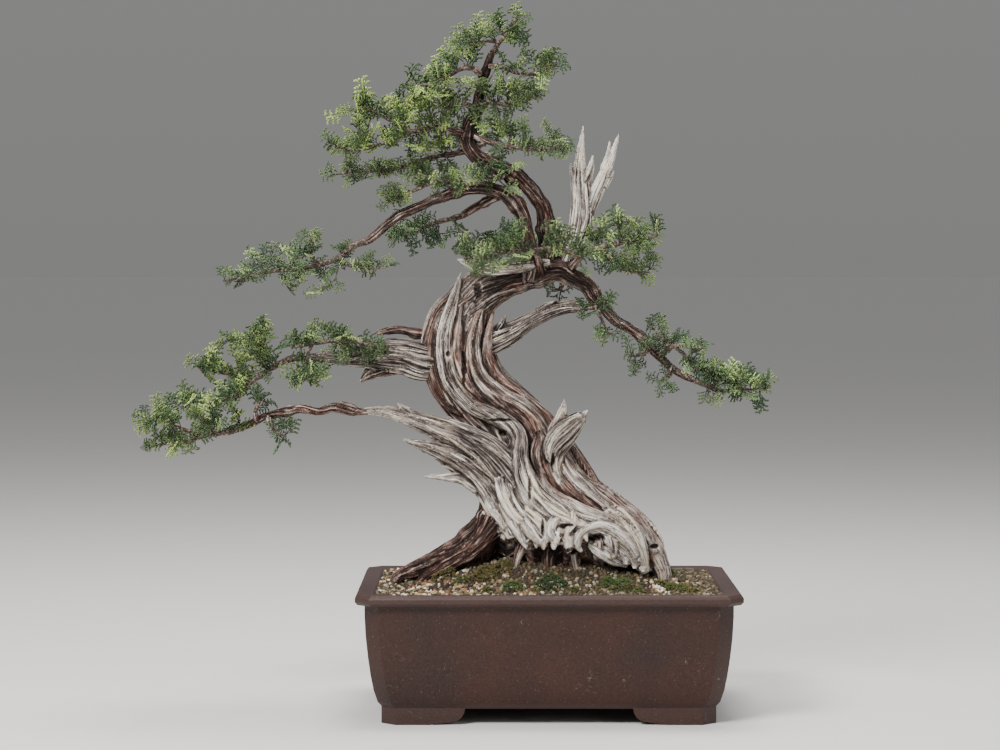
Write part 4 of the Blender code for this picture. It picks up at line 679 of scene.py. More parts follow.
def paintWood(wood, strands):
    points = fromRow(vectorsOf(wood.data.vertices, "co"))
    normals = vectorsOf(wood.data.vertex_normals, "vector")
    near, run, across = grainAt(strands, points)
    # Painted shade: the height of the surface above a smoothed copy of it darkens grooves and hollows and
    # pales crests
    fine, broad = (((points - flatten(wood.data, points, rounds)) * normals).sum(axis=1)
                   for rounds in (5, 40))
    relief = 0.6 * spreadOut(fine) + 0.4 * spreadOut(broad)
    spots = onSheet(points)
    veins = np.max([nearVein(spots, vein) for vein in barkVeins], axis=0)
    veins = veins * np.clip(0.4 - normals[:, 1], 0, 1)
    wild = latticeNoise(points / 14.0) + 0.5 * latticeNoise(points / 5.0)
    own = strands.bark[near]
    back = np.clip(normals[:, 1] * 1.5, 0, 0.75)
    bark = np.where(strands.veined[near], np.maximum(np.maximum(0.8 * veins, back), own), own) + 0.22 * wild
    drift = latticeNoise(np.stack((run / 70, strands.name[near] * 1.7, 0 * run), axis=1))
    tone = 0.5 + 0.5 * drift + 0.25 * wild
    # The bare wood at the front of the foot is bleached most
    bleached = woodShape["bleach"] * np.clip((spots[:, 1] - 450) / 75, 0, 1)
    bleached = bleached * np.clip(0.5 - 1.5 * normals[:, 1], 0, 1)
    pale = strands.pale[near] + bleached * np.clip(1.2 - 1.4 * bark, 0, 1)
    for key, values in (("bark", bark), ("relief", relief), ("tone", tone), ("pale", pale)):
        addAttribute(wood.data, key, np.clip(values, 0, 1))
    addAttribute(wood.data, "grain", np.stack((run, across, strands.name[near] * 3.7), axis=1))
    wood.data.shade_smooth()


def growWood():
    finish = weatheredWood()
    stems = [grown(0.9, entry["stem"], twist=0.5, gnarl=0.15) for entry in sprays if entry["stem"]]
    for name, limbs in (("juniperTrunk", trunkLimbs), ("juniperBranches", branchLimbs + stems)):
        parts, strands = MeshParts(), Strands()
        for number, limb in enumerate(limbs):
            bundle(parts, strands, number, limb)
        strands.finish()
        wood = meshObject(name, inRow(np.concatenate(parts.verts)), parts.faces)
        carve(wood, strands)
        paintWood(wood, strands)
        keep(wood, finish, ["trunk"])


# Weathered juniper wood: silvered bare wood beside stringy reddish bark, both grooved along the grain, with
# painted shade darkening the grooves
woodLook = {
    "bareWood": [(0.0, "#100b09"), (0.2, "#342a26"), (0.4, "#685c56"), (0.62, "#9d938a"), (0.88, "#e4ddd2")],
    "bark": [(0.0, "#0b0605"), (0.24, "#271813"), (0.46, "#4d372e"), (0.7, "#806a61"), (0.94, "#bfb0a8")],
    "cream": "#d8c494",
    "red": "#85503a",
}


def weatheredWood():
    made, tree, shader = startMaterial("weatheredJuniperWood",
                                       {"Roughness": 0.72, "Specular IOR Level": 0.25})
    grain = addNode(tree, "ShaderNodeAttribute", attribute_name="grain").outputs["Vector"]
    bark, relief, tone, pale = (addNode(tree, "ShaderNodeAttribute", attribute_name=name).outputs["Fac"]
                                for name in ("bark", "relief", "tone", "pale"))
    # Streaks 2 mm wide and hairlines 0.7 mm wide, both drawn out along the grain
    streakAt = addNode(tree, "ShaderNodeVectorMath", {0: grain, 1: (0.03, 0.5, 1.0)},
                       operation="MULTIPLY").outputs[0]
    hairAt = addNode(tree, "ShaderNodeVectorMath", {0: grain, 1: (0.07, 1.5, 1.0)},
                     operation="MULTIPLY").outputs[0]
    streaks = addNode(tree, "ShaderNodeTexNoise",
                      {"Vector": streakAt, "Scale": 1.0, "Detail": 3.0}).outputs["Fac"]
    hairs = addNode(tree, "ShaderNodeTexNoise",
                    {"Vector": hairAt, "Scale": 1.0, "Detail": 2.0}).outputs["Fac"]
    # Painted shade: the lightness starts from the surface height, darker in grooves and hollows, lighter on
    # crests
    light = addNode(tree, "ShaderNodeMath", {0: relief, 1: 0.74, 2: 0.12},
                    operation="MULTIPLY_ADD").outputs[0]
    for source, share in ((streaks, 1.3), (hairs, 1.3), (tone, 0.35), (pale, 0.8)):
        shift = addNode(tree, "ShaderNodeMath", {0: source, 1: share, 2: -share / 2},
                        operation="MULTIPLY_ADD").outputs[0]
        light = addNode(tree, "ShaderNodeMath", {0: light, 1: shift}, operation="ADD").outputs[0]
    # Checks: thin dark cracks that run with the grain
    crackAt = addNode(tree, "ShaderNodeVectorMath", {0: grain, 1: (0.016, 0.34, 1.0), 2: (0.0, 0.0, 40.0)},
                      operation="MULTIPLY_ADD").outputs[0]
    cracks = addNode(tree, "ShaderNodeTexNoise",
                     {"Vector": crackAt, "Scale": 1.0, "Detail": 2.0}).outputs["Fac"]
    gap = addNode(tree, "ShaderNodeMath", {0: cracks, 1: 0.5}, operation="SUBTRACT").outputs[0]
    gap = addNode(tree, "ShaderNodeMath", {0: gap}, operation="ABSOLUTE").outputs[0]
    depth = addNode(tree, "ShaderNodeMapRange", {"Value": gap, 1: 0.004, 2: 0.03, 3: 0.34, 4: 0.0}).outputs[0]
    light = addNode(tree, "ShaderNodeMath", {0: light, 1: depth}, operation="SUBTRACT").outputs[0]
    bareColour = addNode(tree, "ShaderNodeValToRGB", {"Fac": light},
                         stops=woodLook["bareWood"]).outputs["Color"]
    barkColour = addNode(tree, "ShaderNodeValToRGB", {"Fac": light}, stops=woodLook["bark"]).outputs["Color"]
    creamShare = addNode(tree, "ShaderNodeMapRange",
                         {"Value": tone, 1: 0.5, 2: 0.85, 3: 0.0, 4: 0.4}).outputs[0]
    redShare = addNode(tree, "ShaderNodeMapRange",
                       {"Value": tone, 1: 0.55, 2: 0.85, 3: 0.0, 4: 0.6}).outputs[0]
    bareColour = addNode(tree, "ShaderNodeMix", {0: creamShare, 6: bareColour, 7: linear(woodLook["cream"])},
                         data_type="RGBA", blend_type="MULTIPLY").outputs[2]
    barkColour = addNode(tree, "ShaderNodeMix", {0: redShare, 6: barkColour, 7: linear(woodLook["red"])},
                         data_type="RGBA", blend_type="SOFT_LIGHT").outputs[2]
    edge = addNode(tree, "ShaderNodeMath", {0: streaks, 1: 0.5, 2: bark}, operation="MULTIPLY_ADD").outputs[0]
    share = addNode(tree, "ShaderNodeMapRange", {"Value": edge, 1: 0.55, 2: 0.95}).outputs[0]
    wood = addNode(tree, "ShaderNodeMix", {0: share, 6: bareColour, 7: barkColour},
                   data_type="RGBA").outputs[2]
    tree.links.new(wood, shader.inputs["Base Color"])
    height = addNode(tree, "ShaderNodeMath", {0: hairs, 1: streaks}, operation="ADD").outputs[0]
    height = addNode(tree, "ShaderNodeMath", {0: height, 1: depth}, operation="SUBTRACT").outputs[0]
    bump = addNode(tree, "ShaderNodeBump", {"Height": height, "Strength": 0.8, "Distance": 0.0009}).outputs[0]
    tree.links.new(bump, shader.inputs["Normal"])
    return made


# Sprays: each has its own core twig, and the stem of wood that carries it where that isn't one of the limbs
foliageLook = {
    "sprigLength": 21.0,  # mm
    "cordHalf": 1.0,  # half the thickness of a scale-covered shoot
    "twigHalf": 0.95,  # the same for a twig at its root
    "sideCords": 7,
    "spacing": 5.2,  # between sprigs along a twig
    "kinds": 4,
    "fuller": {"shelf_far": 1.1, "shelf_near": 1.15, "left_high": 1.1, "left_far": 0.9, "right_hanging": 0.9,
               "low_far": 1.05, "right_tip": 1.1, "left_mid": 0.88},
}


def spray(name, core, forks=(), stem=None, fresh=0.5, more=()):
    # more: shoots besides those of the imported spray, each from a place to a place
    return {"name": name, "core": core, "forks": forks, "stem": stem, "fresh": fresh, "more": more}


sprays = [
    spray("apex", [(492, 54, 0, 3), (498, 45, 0, 2.4), (506, 36, -2, 1.9), (515, 22, 0, 1.5),
                   (519, 12, 0, 1)],
          [[(500, 43, -1, 2), (482, 42, -4, 1.6), (458, 44, -6, 1)]], fresh=0.75,
          more=[((499, 44, 0), (491, 38, -6)), ((505, 37, -2), (500, 33, 5)),
                ((486, 42, -3), (479, 52, -8))]),
    spray("crown_left", [(474, 69, -8, 2.8), (463, 69, -11, 2.3), (452, 75, -12, 2), (440, 83, -13, 1.8),
                         (424, 86, -12, 1.5), (406, 85, -10, 1.1)],
          stem=[(484, 78, 0, 3.4), (474, 69, -8, 2.8)], fresh=0.7,
          more=[((466, 69, -10), (463, 56, -14)), ((456, 73, -12), (448, 61, -10)),
                ((440, 83, -13), (436, 71, -16))]),
    spray("crown_right", [(498, 66, -8, 2.6), (510, 71, -12, 2.2), (526, 75, -14, 1.9), (541, 72, -13, 1.6),
                          (557, 66, -11, 1.1)], stem=[(487, 68, 0, 3), (498, 66, -8, 2.6)], fresh=0.6,
          more=[((498, 66, -8), (489, 80, -16)), ((503, 68, -10), (504, 86, -14))]),
    spray("crown_low_right", [(488, 102, -9, 2.6), (498, 104, -13, 2.2), (510, 106, -15, 1.8),
                              (524, 102, -15, 1.4), (540, 96, -13, 1)],
          stem=[(477, 104, 0, 3.4), (488, 102, -9, 2.6)], fresh=0.5,
          more=[((490, 102, -10), (479, 88, -17)), ((492, 103, -11), (500, 118, -15)),
                ((490, 103, -10), (481, 117, -17)), ((504, 105, -14), (510, 93, -18)),
                ((498, 104, -13), (497, 91, -18))]),
    spray("crown_centre", [(467, 105, -10, 2.2), (458, 103, -15, 1.8), (446, 108, -17, 1.2)],
          stem=[(477, 110, 0, 3), (467, 105, -10, 2.2)], fresh=0.55,
          more=[((466, 105, -11), (476, 117, -18)), ((463, 104, -12), (471, 94, -18)),
                ((459, 103, -15), (457, 115, -12)), ((453, 105, -16), (446, 95, -20))]),
    spray("left_high", [(447, 130, -10, 3.2), (432, 128, -12, 2.8), (410, 133, -16, 2.3), (385, 143, -19, 2),
                        (360, 150, -19, 1.6), (334, 146, -17, 1.1)],
          [[(410, 133, -16, 2.1), (392, 122, -22, 1.7), (370, 110, -24, 1.1)]],
          [(469, 135, 0, 4.4), (456, 132, -8, 3.6), (447, 130, -10, 3.2)], 0.85,
          more=[((434, 128, -12), (428, 114, -17)), ((421, 130, -14), (411, 117, -12)),
                ((442, 129, -11), (441, 116, -7)), ((430, 128, -13), (427, 142, -9)),
                ((419, 131, -15), (417, 145, -19)), ((441, 129, -11), (438, 144, -14))]),
    spray("left_mid", [(446, 155, 12, 2.8), (430, 158, 15, 2.5), (412, 164, 18, 2.2), (396, 169, 18, 1.9),
                       (375, 171, 16, 1.6), (350, 173, 14, 1.3), (330, 175, 12, 1)],
          stem=[(474, 150, 0, 4), (458, 153, 8, 3.2), (446, 155, 12, 2.8)], fresh=0.4,
          more=[((445, 155, 12), (453, 166, 6)), ((444, 155, 12), (449, 143, 4)),
                ((436, 157, 14), (440, 170, 8)), ((424, 160, 16), (421, 173, 10)),
                ((412, 164, 18), (409, 151, 12))]),
    spray("left_arch", [(454, 184, -20, 2.6), (446, 180, -25, 2.2), (430, 184, -27, 1.9),
                        (412, 192, -27, 1.6), (390, 202, -25, 1.1)],
          stem=[(458, 192, -12, 4), (454, 184, -20, 2.6)], fresh=0.6),
    spray("arch_top", [(501, 178, -13, 2.4), (497, 179, -22, 1.9), (490, 176, -28, 1.2)],
          stem=[(505, 172, 0, 4), (501, 178, -13, 2.4)], fresh=0.4,
          more=[((499, 178, -18), (510, 168, -24)), ((498, 179, -20), (507, 188, -26)),
                ((493, 178, -26), (478, 171, -30)), ((496, 179, -23), (484, 185, -29))]),
    spray("right_high", [(491, 143, -14, 2.7), (508, 147, -16, 2.3), (525, 149, -16, 2), (540, 150, -14, 1.6),
                         (556, 148, -12, 1.3), (569, 146, -11, 1)],
          stem=[(470, 134, 0, 4), (480, 139, -11, 3.2), (491, 143, -14, 2.7)], fresh=0.3),
    spray("left_far", [(368, 241, -12, 3.8), (353, 246, -14, 3.4), (338, 258, -16, 3), (318, 265, -16, 2.7),
                       (300, 269, -14, 2.3), (276, 271, -12, 1.9), (255, 274, -10, 1.6), (236, 279, -8, 1.2),
                       (223, 281, -8, 0.9)],
          [[(338, 258, -16, 2.4), (352, 266, -24, 2), (372, 268, -26, 1.6), (390, 266, -26, 1)],
           [(318, 265, -16, 2.2), (310, 250, -24, 1.7), (312, 236, -26, 1)]], fresh=0.25),
    spray("left_shade", [(462, 216, 24, 3.2), (450, 219, 27, 2.8), (438, 222, 29, 2.4), (422, 228, 31, 2),
                         (404, 234, 31, 1.6), (388, 238, 30, 1)], fresh=0.15),
    spray("middle_front", [(537, 254, -32, 3), (524, 250, -40, 2.6), (504, 252, -44, 2.2),
                           (484, 257, -44, 1.7), (464, 258, -40, 1.1)],
          [[(535, 250.5, -37, 2.4), (550, 248, -40, 2.2), (566, 250, -43, 1.7), (582, 258, -42, 1.1)],
           [(524, 250, -40, 2.2), (520, 238, -42, 1.6), (514, 228, -40, 1)]],
          [(541, 272, -6, 5), (539, 262, -22, 3.6), (537, 254, -32, 3)], 0.4),
    spray("right_middle", [(588, 250, -13, 3.2), (602, 247, -16, 2.7), (622, 243, -16, 2.2),
                           (641, 240, -14, 1.7), (659, 235, -12, 1.1)],
          [[(602, 247, -16, 2.4), (612, 261, -26, 2), (628, 271, -28, 1.6), (650, 272, -26, 1)]],
          [(566, 272, 0, 5), (579, 258, -8, 3.8), (588, 250, -13, 3.2)], 0.55),
    spray("right_tuft", [(597, 306, -12, 2.4), (594, 308, -18, 1.9), (583, 308, -21, 1.2)],
          [[(595, 308, -17, 1.8), (602, 320, -20, 1.5), (608, 334, -19, 1)]],
          [(600, 303, 0, 4), (597, 306, -12, 2.4)], 0.3),
    spray("right_shade", [(562, 284, 17, 2.4), (560, 289, 22, 1.9), (552, 291, 26, 1.2)],
          stem=[(562, 274, 6, 4), (562, 284, 17, 2.4)], fresh=0.2),
    spray("right_hanging", [(666, 350, -10, 2.8), (674, 346, -15, 2.3), (685, 346, -17, 1.8),
                            (700, 351, -17, 1.1)],
          [[(674, 346, -15, 2), (688, 358, -19, 1.7), (699, 369, -19, 1)],
           [(669, 347.5, -13, 2), (662, 337, -16, 1.6), (652, 327, -13, 1)]],
          [(658, 356, 0, 4), (666, 350, -10, 2.8)], 0.2),
    spray("right_under_near", [(645, 354, -10, 2.2), (638, 355, -14, 1.8), (629, 356, -15, 1.1)],
          stem=[(650, 347, 0, 4), (645, 354, -10, 2.2)], fresh=0.3),
    spray("right_under_far", [(669, 376, -10, 2.2), (665, 379, -14, 1.8), (659, 383, -15, 1.1)],
          stem=[(672, 367, 0, 4), (669, 376, -10, 2.2)], fresh=0.3),
    spray("right_tip", [(695, 380, 0, 3.2), (710, 387, 0, 2.6), (725, 391, 0, 2.1), (742, 390, 0, 1.7),
                        (757, 388, 0, 1.3), (769, 388, 0, 0.9)], fresh=0.45,
          more=[((697, 381, 0), (703, 371, -8)), ((703, 384, 0), (714, 374, -6)),
                ((708, 386, 0), (717, 380, 8)), ((706, 385, 0), (709, 395, -6)),
                ((701, 383, 0), (708, 375, 8)), ((712, 388, 0), (722, 378, -8))]),
    spray("shelf_near", [(342, 342, -22, 2.6), (330, 341, -27, 2.2), (312, 344, -29, 1.8),
                         (294, 347, -29, 1.2)],
          [[(338.5, 339, -25.5, 2.2), (358, 342, -30, 1.9), (376, 347, -30, 1.1)],
           [(312, 344, -29, 1.7), (306, 360, -33, 1.5), (308, 376, -33, 1)]],
          [(350, 356, -8, 5), (346, 346, -18, 3.2), (342, 342, -22, 2.6)], 0.35),
    spray("shelf_far", [(304, 357, -8, 4), (287, 360, -8, 3.4), (268, 370, -8, 2.8), (252, 382, -8, 2.2),
                        (236, 394, -8, 1.7), (224, 404, -8, 1.1)],
          [[(268, 370, -8, 2.4), (256, 352, -14, 1.9), (247, 340, -16, 1.1)],
           [(252, 382, -8, 2), (228, 374, -14, 1.7), (202, 370, -16, 1)]], fresh=0.65),
    spray("low_far", [(238, 429, -14, 3.5), (228, 432, -14, 3.2), (214, 434, -14, 2.8), (200, 437, -14, 2.4),
                      (188, 441, -14, 2), (170, 443, -15, 1.5), (147, 448, -16, 0.9)],
          [[(200, 437, -14, 2.1), (185, 430, -19, 1.8), (165, 423, -22, 1.4), (142, 416, -22, 0.9)],
           [(214, 434, -14, 2.1), (205, 418, -22, 1.7), (188, 402, -24, 1)]], fresh=0.65),
    spray("low_under", [(272, 428, -27, 1.8), (277, 433, -30, 1.5), (286, 437, -30, 1)],
          stem=[(268, 416, -14, 3.6), (270, 424, -24, 2), (272, 428, -27, 1.8)], fresh=0.3),
    spray("low_over", [(255, 412, -23, 2), (257, 406, -26, 1.6), (262, 398, -26, 1)],
          stem=[(256, 421, -14, 3.4), (255, 412, -23, 2)], fresh=0.45),
    spray("back_middle", [(538, 258, 36, 3.6), (532, 252, 58, 2.9), (524, 250, 82, 2.2),
                          (516, 250, 108, 1.2)],
          [[(534, 254, 50, 2.4), (560, 250, 66, 1.9), (582, 248, 80, 1.1)],
           [(528, 251, 70, 2.2), (505, 248, 74, 1.7), (486, 248, 76, 1)]],
          [(544, 270, 6, 6), (541, 262, 24, 4.4), (538, 258, 36, 3.6)], 0.35),
    spray("back_high", [(482, 144, 24, 2.6), (485, 140, 40, 2.1), (488, 136, 62, 1.1)],
          [[(484, 142, 32, 1.9), (468, 134, 44, 1.5), (454, 132, 52, 1)]],
          [(474, 148, 0, 4), (480, 146, 16, 3), (482, 144, 24, 2.6)], 0.4),
]


def cord(verts, faces, tips, start, end, half, tipLow, tipHigh):
    # a three-sided scale-covered shoot, 12 faces, thick almost to its rounded tip
    way = unit(end - start)
    side = unit(np.cross(way, (0.3, 0.9, 0.2)))
    over = np.cross(way, side)
    base = len(verts)
    turns = [2 * math.pi * i / 3 for i in range(3)]
    verts.append(start)
    for share, size in ((0.18, half), (0.84, half * 0.85)):
        for turn in turns:
            spoke = side * math.cos(turn) + over * math.sin(turn)
            verts.append(start + (end - start) * share + spoke * size)
    verts.append(end)
    rise = tipHigh - tipLow
    tips += [tipLow] + [tipLow + rise * 0.18] * 3 + [tipLow + rise * 0.84] * 3 + [tipHigh]
    for i in range(3):
        j = (i + 1) % 3
        faces.append((base, base + 1 + j, base + 1 + i))
        faces.append((base + 1 + i, base + 1 + j, base + 4 + j, base + 4 + i))
        faces.append((base + 4 + i, base + 4 + j, base + 7))


def clubCord(verts, faces, tips, start, end, half, tipLow):
    # one of the last and shortest shoots, 6 faces, thickest near its end
    way = unit(end - start)
    side = unit(np.cross(way, (0.3, 0.9, 0.2)))
    over = np.cross(way, side)
    base = len(verts)
    verts += [start, end]
    for i in range(3):
        turn = 2 * math.pi * i / 3
        verts.append(start + (end - start) * 0.76 + (side * math.cos(turn) + over * math.sin(turn)) * half)
    tips += [tipLow, 1.0] + [0.5 + 0.5 * tipLow] * 3
    for i in range(3):
        a, b = base + 2 + i, base + 2 + (i + 1) % 3
        faces += [(base, b, a), (a, b, base + 1)]


def makeSprig(number):  # a flat, branching fan of shoots
    rng = random.Random(40 + number)
    size, half = foliageLook["sprigLength"], foliageLook["cordHalf"]
    verts, faces, tips = [], [], []
    spine = [np.array((rng.uniform(-0.05, 0.05) * size, rng.uniform(-0.05, 0.05) * size, share * size))
             for share in (0, 0.36, 0.7, 1)]
    spine[0] = np.zeros(3)
    for i, (start, end) in enumerate(zip(spine, spine[1:])):
        cord(verts, faces, tips, start, end + (end - start) * 0.12, half * (0.8 + 0.06 * i), 0.33 * i,
             0.34 + 0.33 * i)
    for i in range(foliageLook["sideCords"]):
        share = 0.12 + 0.76 * (i + rng.uniform(-0.2, 0.2)) / (foliageLook["sideCords"] - 1)
        part = int(np.clip(share / 0.34, 0, 2))
        start = spine[part] + (spine[part + 1] - spine[part]) * (share / 0.34 - part)
        side = 1 if i % 2 else -1
        length = size * (0.5 - 0.24 * share) * rng.uniform(0.85, 1.15)
        way = unit(np.array((side * rng.uniform(0.75, 1.05), rng.uniform(-0.3, 0.3), rng.uniform(0.75, 1.0))))
        clubCord(verts, faces, tips, start - way * 0.8, start + way * length, half * 0.85,
                 0.25 + 0.35 * share)
        flip = -side
        for place in (0.38, 0.7):
            tilt = np.array((0, rng.uniform(-0.2, 0.2), 0))
            turn = unit(way + flip * np.array((way[2], 0, -way[0])) * 0.85 + tilt)
            root = start + way * length * place
            clubCord(verts, faces, tips, root, root + turn * length * rng.uniform(0.4, 0.54), half * 1.2, 0.5)
            flip = -flip
    return meshObject("sprig" + str(number), [v * 0.001 for v in verts], faces, {"tip": tips})


def shootsOf(nodeName):  # where each shoot of a packed spray ends, the way it grows, and its length
    bm = merged(frame["nodes"][nodeName].data)
    found = []
    for vert in bm.verts:
        edges = [edge.other_vert(vert).co - vert.co for edge in vert.link_edges]
        if len(edges) < 3 or min(edge.length for edge in edges) < 0.002:
            continue
        mean = sum((edge.normalized() for edge in edges), Vector()) / len(edges)
        if mean.length > 0.965:
            length = max(edge.length for edge in edges) + 0.0028
            found.append((fromRow(vert.co), -np.array(mean.normalized()), length * 1000))
    bm.free()
    return found


def twigLines(entry, number):  # the spray's twigs as lines, with how thick and how far out they are
    rng = random.Random(300 + number)
    verts, edges, girth, outer = [], [], [], []
    lines = []
    for tip, way, length in shootsOf("foliage_" + entry["name"]):
        # The last sprig reaches on to the shoot's tip
        bare = max(length * 0.25, length - 0.85 * foliageLook["sprigLength"])
        lines.append((tip - way * length, tip - way * (length - bare)))
    lines += [drawn(ends) for ends in entry["more"]]
    cores = [smoothPath(path, 6.0) for path in [entry["core"], *entry["forks"]]]
    for start, end in lines:
        length = np.linalg.norm(end - start)
        bend = np.array([rng.gauss(0, 1) for _ in range(3)]) * length * 0.045
        cuts = max(2, round(length / 6))
        for i in range(cuts + 1):
            share = i / cuts
            if i:
                edges.append((len(verts) - 1, len(verts)))
            verts.append(start + (end - start) * share + bend * math.sin(math.pi * share))
            girth.append(foliageLook["twigHalf"] * (1 - 0.55 * share))
            outer.append(share)
    for path in cores:
        centres = drawn(path)
        for i, centre in enumerate(centres[len(centres) // 3:-2]):  # the last sprig covers the core's end
            if i:
                edges.append((len(verts) - 1, len(verts)))
            verts.append(centre)
            girth.append(0.3)
            outer.append(0.5)
    mesh = bpy.data.meshes.new("twigLines")
    mesh.from_pydata(inRow(verts), edges, [])
    addAttribute(mesh, "girth", np.array(girth) * 0.001)
    addAttribute(mesh, "outer", outer)
    return newObject(entry["name"] + "Spray", mesh)


def coreTwigs(entry, number):
    parts = MeshParts()
    for k, path in enumerate([entry["core"], *entry["forks"]]):
        places = smoothPath(path, 3.0)
        centres = drawn(places)
        sides, acrosses = carriedFrames(centres)
        lumps = 1 + 0.16 * wave(np.arange(len(centres)) * 1.1, number * 10 + k)
        half = (places[:, 3] * lumps)[:, None]
        parts.tube(centres, sides * half, acrosses * half * 0.9, 8)
    return meshObject("twigCore", inRow(np.concatenate(parts.verts)), parts.faces)


def sprigTree(sprigs, foliage, twigBark):
    tree, sockets, given = startTree("growSprigs", [
        ("Lines", "Geometry", None), ("Core", "Object", None), ("Spacing", "Float", 0.0043),
        ("Size", "Float", 1.0), ("Fresh", "Float", 0.5), ("Seed", "Int", 0)])
    lines = addNode(tree, "GeometryNodeMeshToCurve", {"Mesh": given["Lines"]}).outputs["Curve"]
    girth = addNode(tree, "GeometryNodeInputNamedAttribute", {"Name": "girth"}, data_type="FLOAT").outputs[0]
    outer = addNode(tree, "GeometryNodeInputNamedAttribute", {"Name": "outer"}, data_type="FLOAT").outputs[0]
    ring = addNode(tree, "GeometryNodeCurvePrimitiveCircle",
                   {"Resolution": 4, "Radius": 1.0}).outputs["Curve"]
    twigs = addNode(tree, "GeometryNodeCurveToMesh", {
        "Curve": lines, "Profile Curve": ring, "Scale": girth, "Fill Caps": True}).outputs["Mesh"]
    twigs = addNode(tree, "GeometryNodeSetShadeSmooth", {0: twigs}).outputs[0]
    core = addNode(tree, "GeometryNodeObjectInfo", {"Object": given["Core"]}).outputs["Geometry"]
    wood = addNode(tree, "GeometryNodeJoinGeometry")
    tree.links.new(twigs, wood.inputs[0])
    tree.links.new(core, wood.inputs[0])
    wood = addNode(tree, "GeometryNodeSetMaterial",
                   {"Geometry": wood.outputs[0], "Material": twigBark}).outputs[0]
    dots = addNode(tree, "GeometryNodeCurveToPoints", {"Curve": lines, "Length": given["Spacing"]},
                   mode="LENGTH")
    seed = given["Seed"]
    turnSeed, sizeSeed, kindSeed, tintSeed = (
        addNode(tree, "ShaderNodeMath", {0: seed, 1: shift}, operation="ADD").outputs[0]
        for shift in (7.0, 13.0, 19.0, 23.0))
    spread = addNode(tree, "FunctionNodeRandomValue", {0: (-1, -1, -1), 1: (1, 1, 1), "Seed": seed},
                     data_type="FLOAT_VECTOR").outputs[0]
    drift = addNode(tree, "ShaderNodeVectorMath", {0: spread, "Scale": 0.75}, operation="SCALE").outputs[0]
    way = addNode(tree, "ShaderNodeVectorMath", {0: dots.outputs["Tangent"], 1: drift},
                  operation="ADD").outputs[0]
    way = addNode(tree, "ShaderNodeVectorMath", {0: way, 1: (0.0, 0.0, 0.32)}, operation="ADD").outputs[0]
    turned = addNode(tree, "FunctionNodeAlignRotationToVector", {"Vector": way}, axis="Z").outputs[0]
    # The flat of each fan is turned towards the front or up, as far as its shoot allows
    loose = addNode(tree, "FunctionNodeRandomValue",
                    {0: (-0.9, -0.6, -0.7), 1: (0.9, 0.5, 1.1), "Seed": turnSeed},
                    data_type="FLOAT_VECTOR").outputs[0]
    facing = addNode(tree, "ShaderNodeVectorMath", {0: loose, 1: (0.0, -0.8, 0.25)},
                     operation="ADD").outputs[0]
    turned = addNode(tree, "FunctionNodeAlignRotationToVector", {"Rotation": turned, "Vector": facing},
                     axis="Y", pivot_axis="Z").outputs[0]
    size = addNode(tree, "FunctionNodeRandomValue", {2: 0.68, 3: 1.12, "Seed": sizeSeed},
                   data_type="FLOAT").outputs[1]
    size = addNode(tree, "ShaderNodeMath", {0: size, 1: given["Size"]}, operation="MULTIPLY").outputs[0]
    kind = addNode(tree, "FunctionNodeRandomValue", {4: 0, 5: foliageLook["kinds"] - 1, "Seed": kindSeed},
                   data_type="INT").outputs[2]
    shapes = addNode(tree, "GeometryNodeCollectionInfo",
                     {"Collection": sprigs, "Separate Children": True, "Reset Children": True}).outputs[0]
    placed = addNode(tree, "GeometryNodeInstanceOnPoints", {
        "Points": dots.outputs["Points"], "Instance": shapes, "Pick Instance": True, "Instance Index": kind,
        "Rotation": turned, "Scale": size}).outputs[0]
    tint = addNode(tree, "FunctionNodeRandomValue", {2: 0.3, 3: 0.95, "Seed": tintSeed},
                   data_type="FLOAT").outputs[1]
    for name, value in (("tint", tint), ("depth", outer), ("fresh", given["Fresh"])):
        placed = addNode(tree, "GeometryNodeStoreNamedAttribute",
                         {"Geometry": placed, "Name": name, "Value": value}, data_type="FLOAT",
                         domain="INSTANCE").outputs[0]
    leaves = addNode(tree, "GeometryNodeRealizeInstances", {0: placed}).outputs[0]
    leaves = addNode(tree, "GeometryNodeSetMaterial", {"Geometry": leaves, "Material": foliage}).outputs[0]
    whole = addNode(tree, "GeometryNodeJoinGeometry")
    tree.links.new(wood, whole.inputs[0])
    tree.links.new(leaves, whole.inputs[0])
    last = addNode(tree, "GeometryNodeRealizeInstances", {0: whole.outputs[0]}).outputs[0]
    addNode(tree, "NodeGroupOutput", {0: last})
    return tree, sockets


# Juniper scale foliage: matte, waxy cords, bluish inside a spray and darkened there by painted shade,
# yellow-green at the growing tips
scaleLook = {
    "shaded": "#152212", "middle": "#4a6a38", "grey": "#61735a", "tips": "#abbf88", "freshTips": "#c3d868",
    "cool": "#3e6c4c",
}


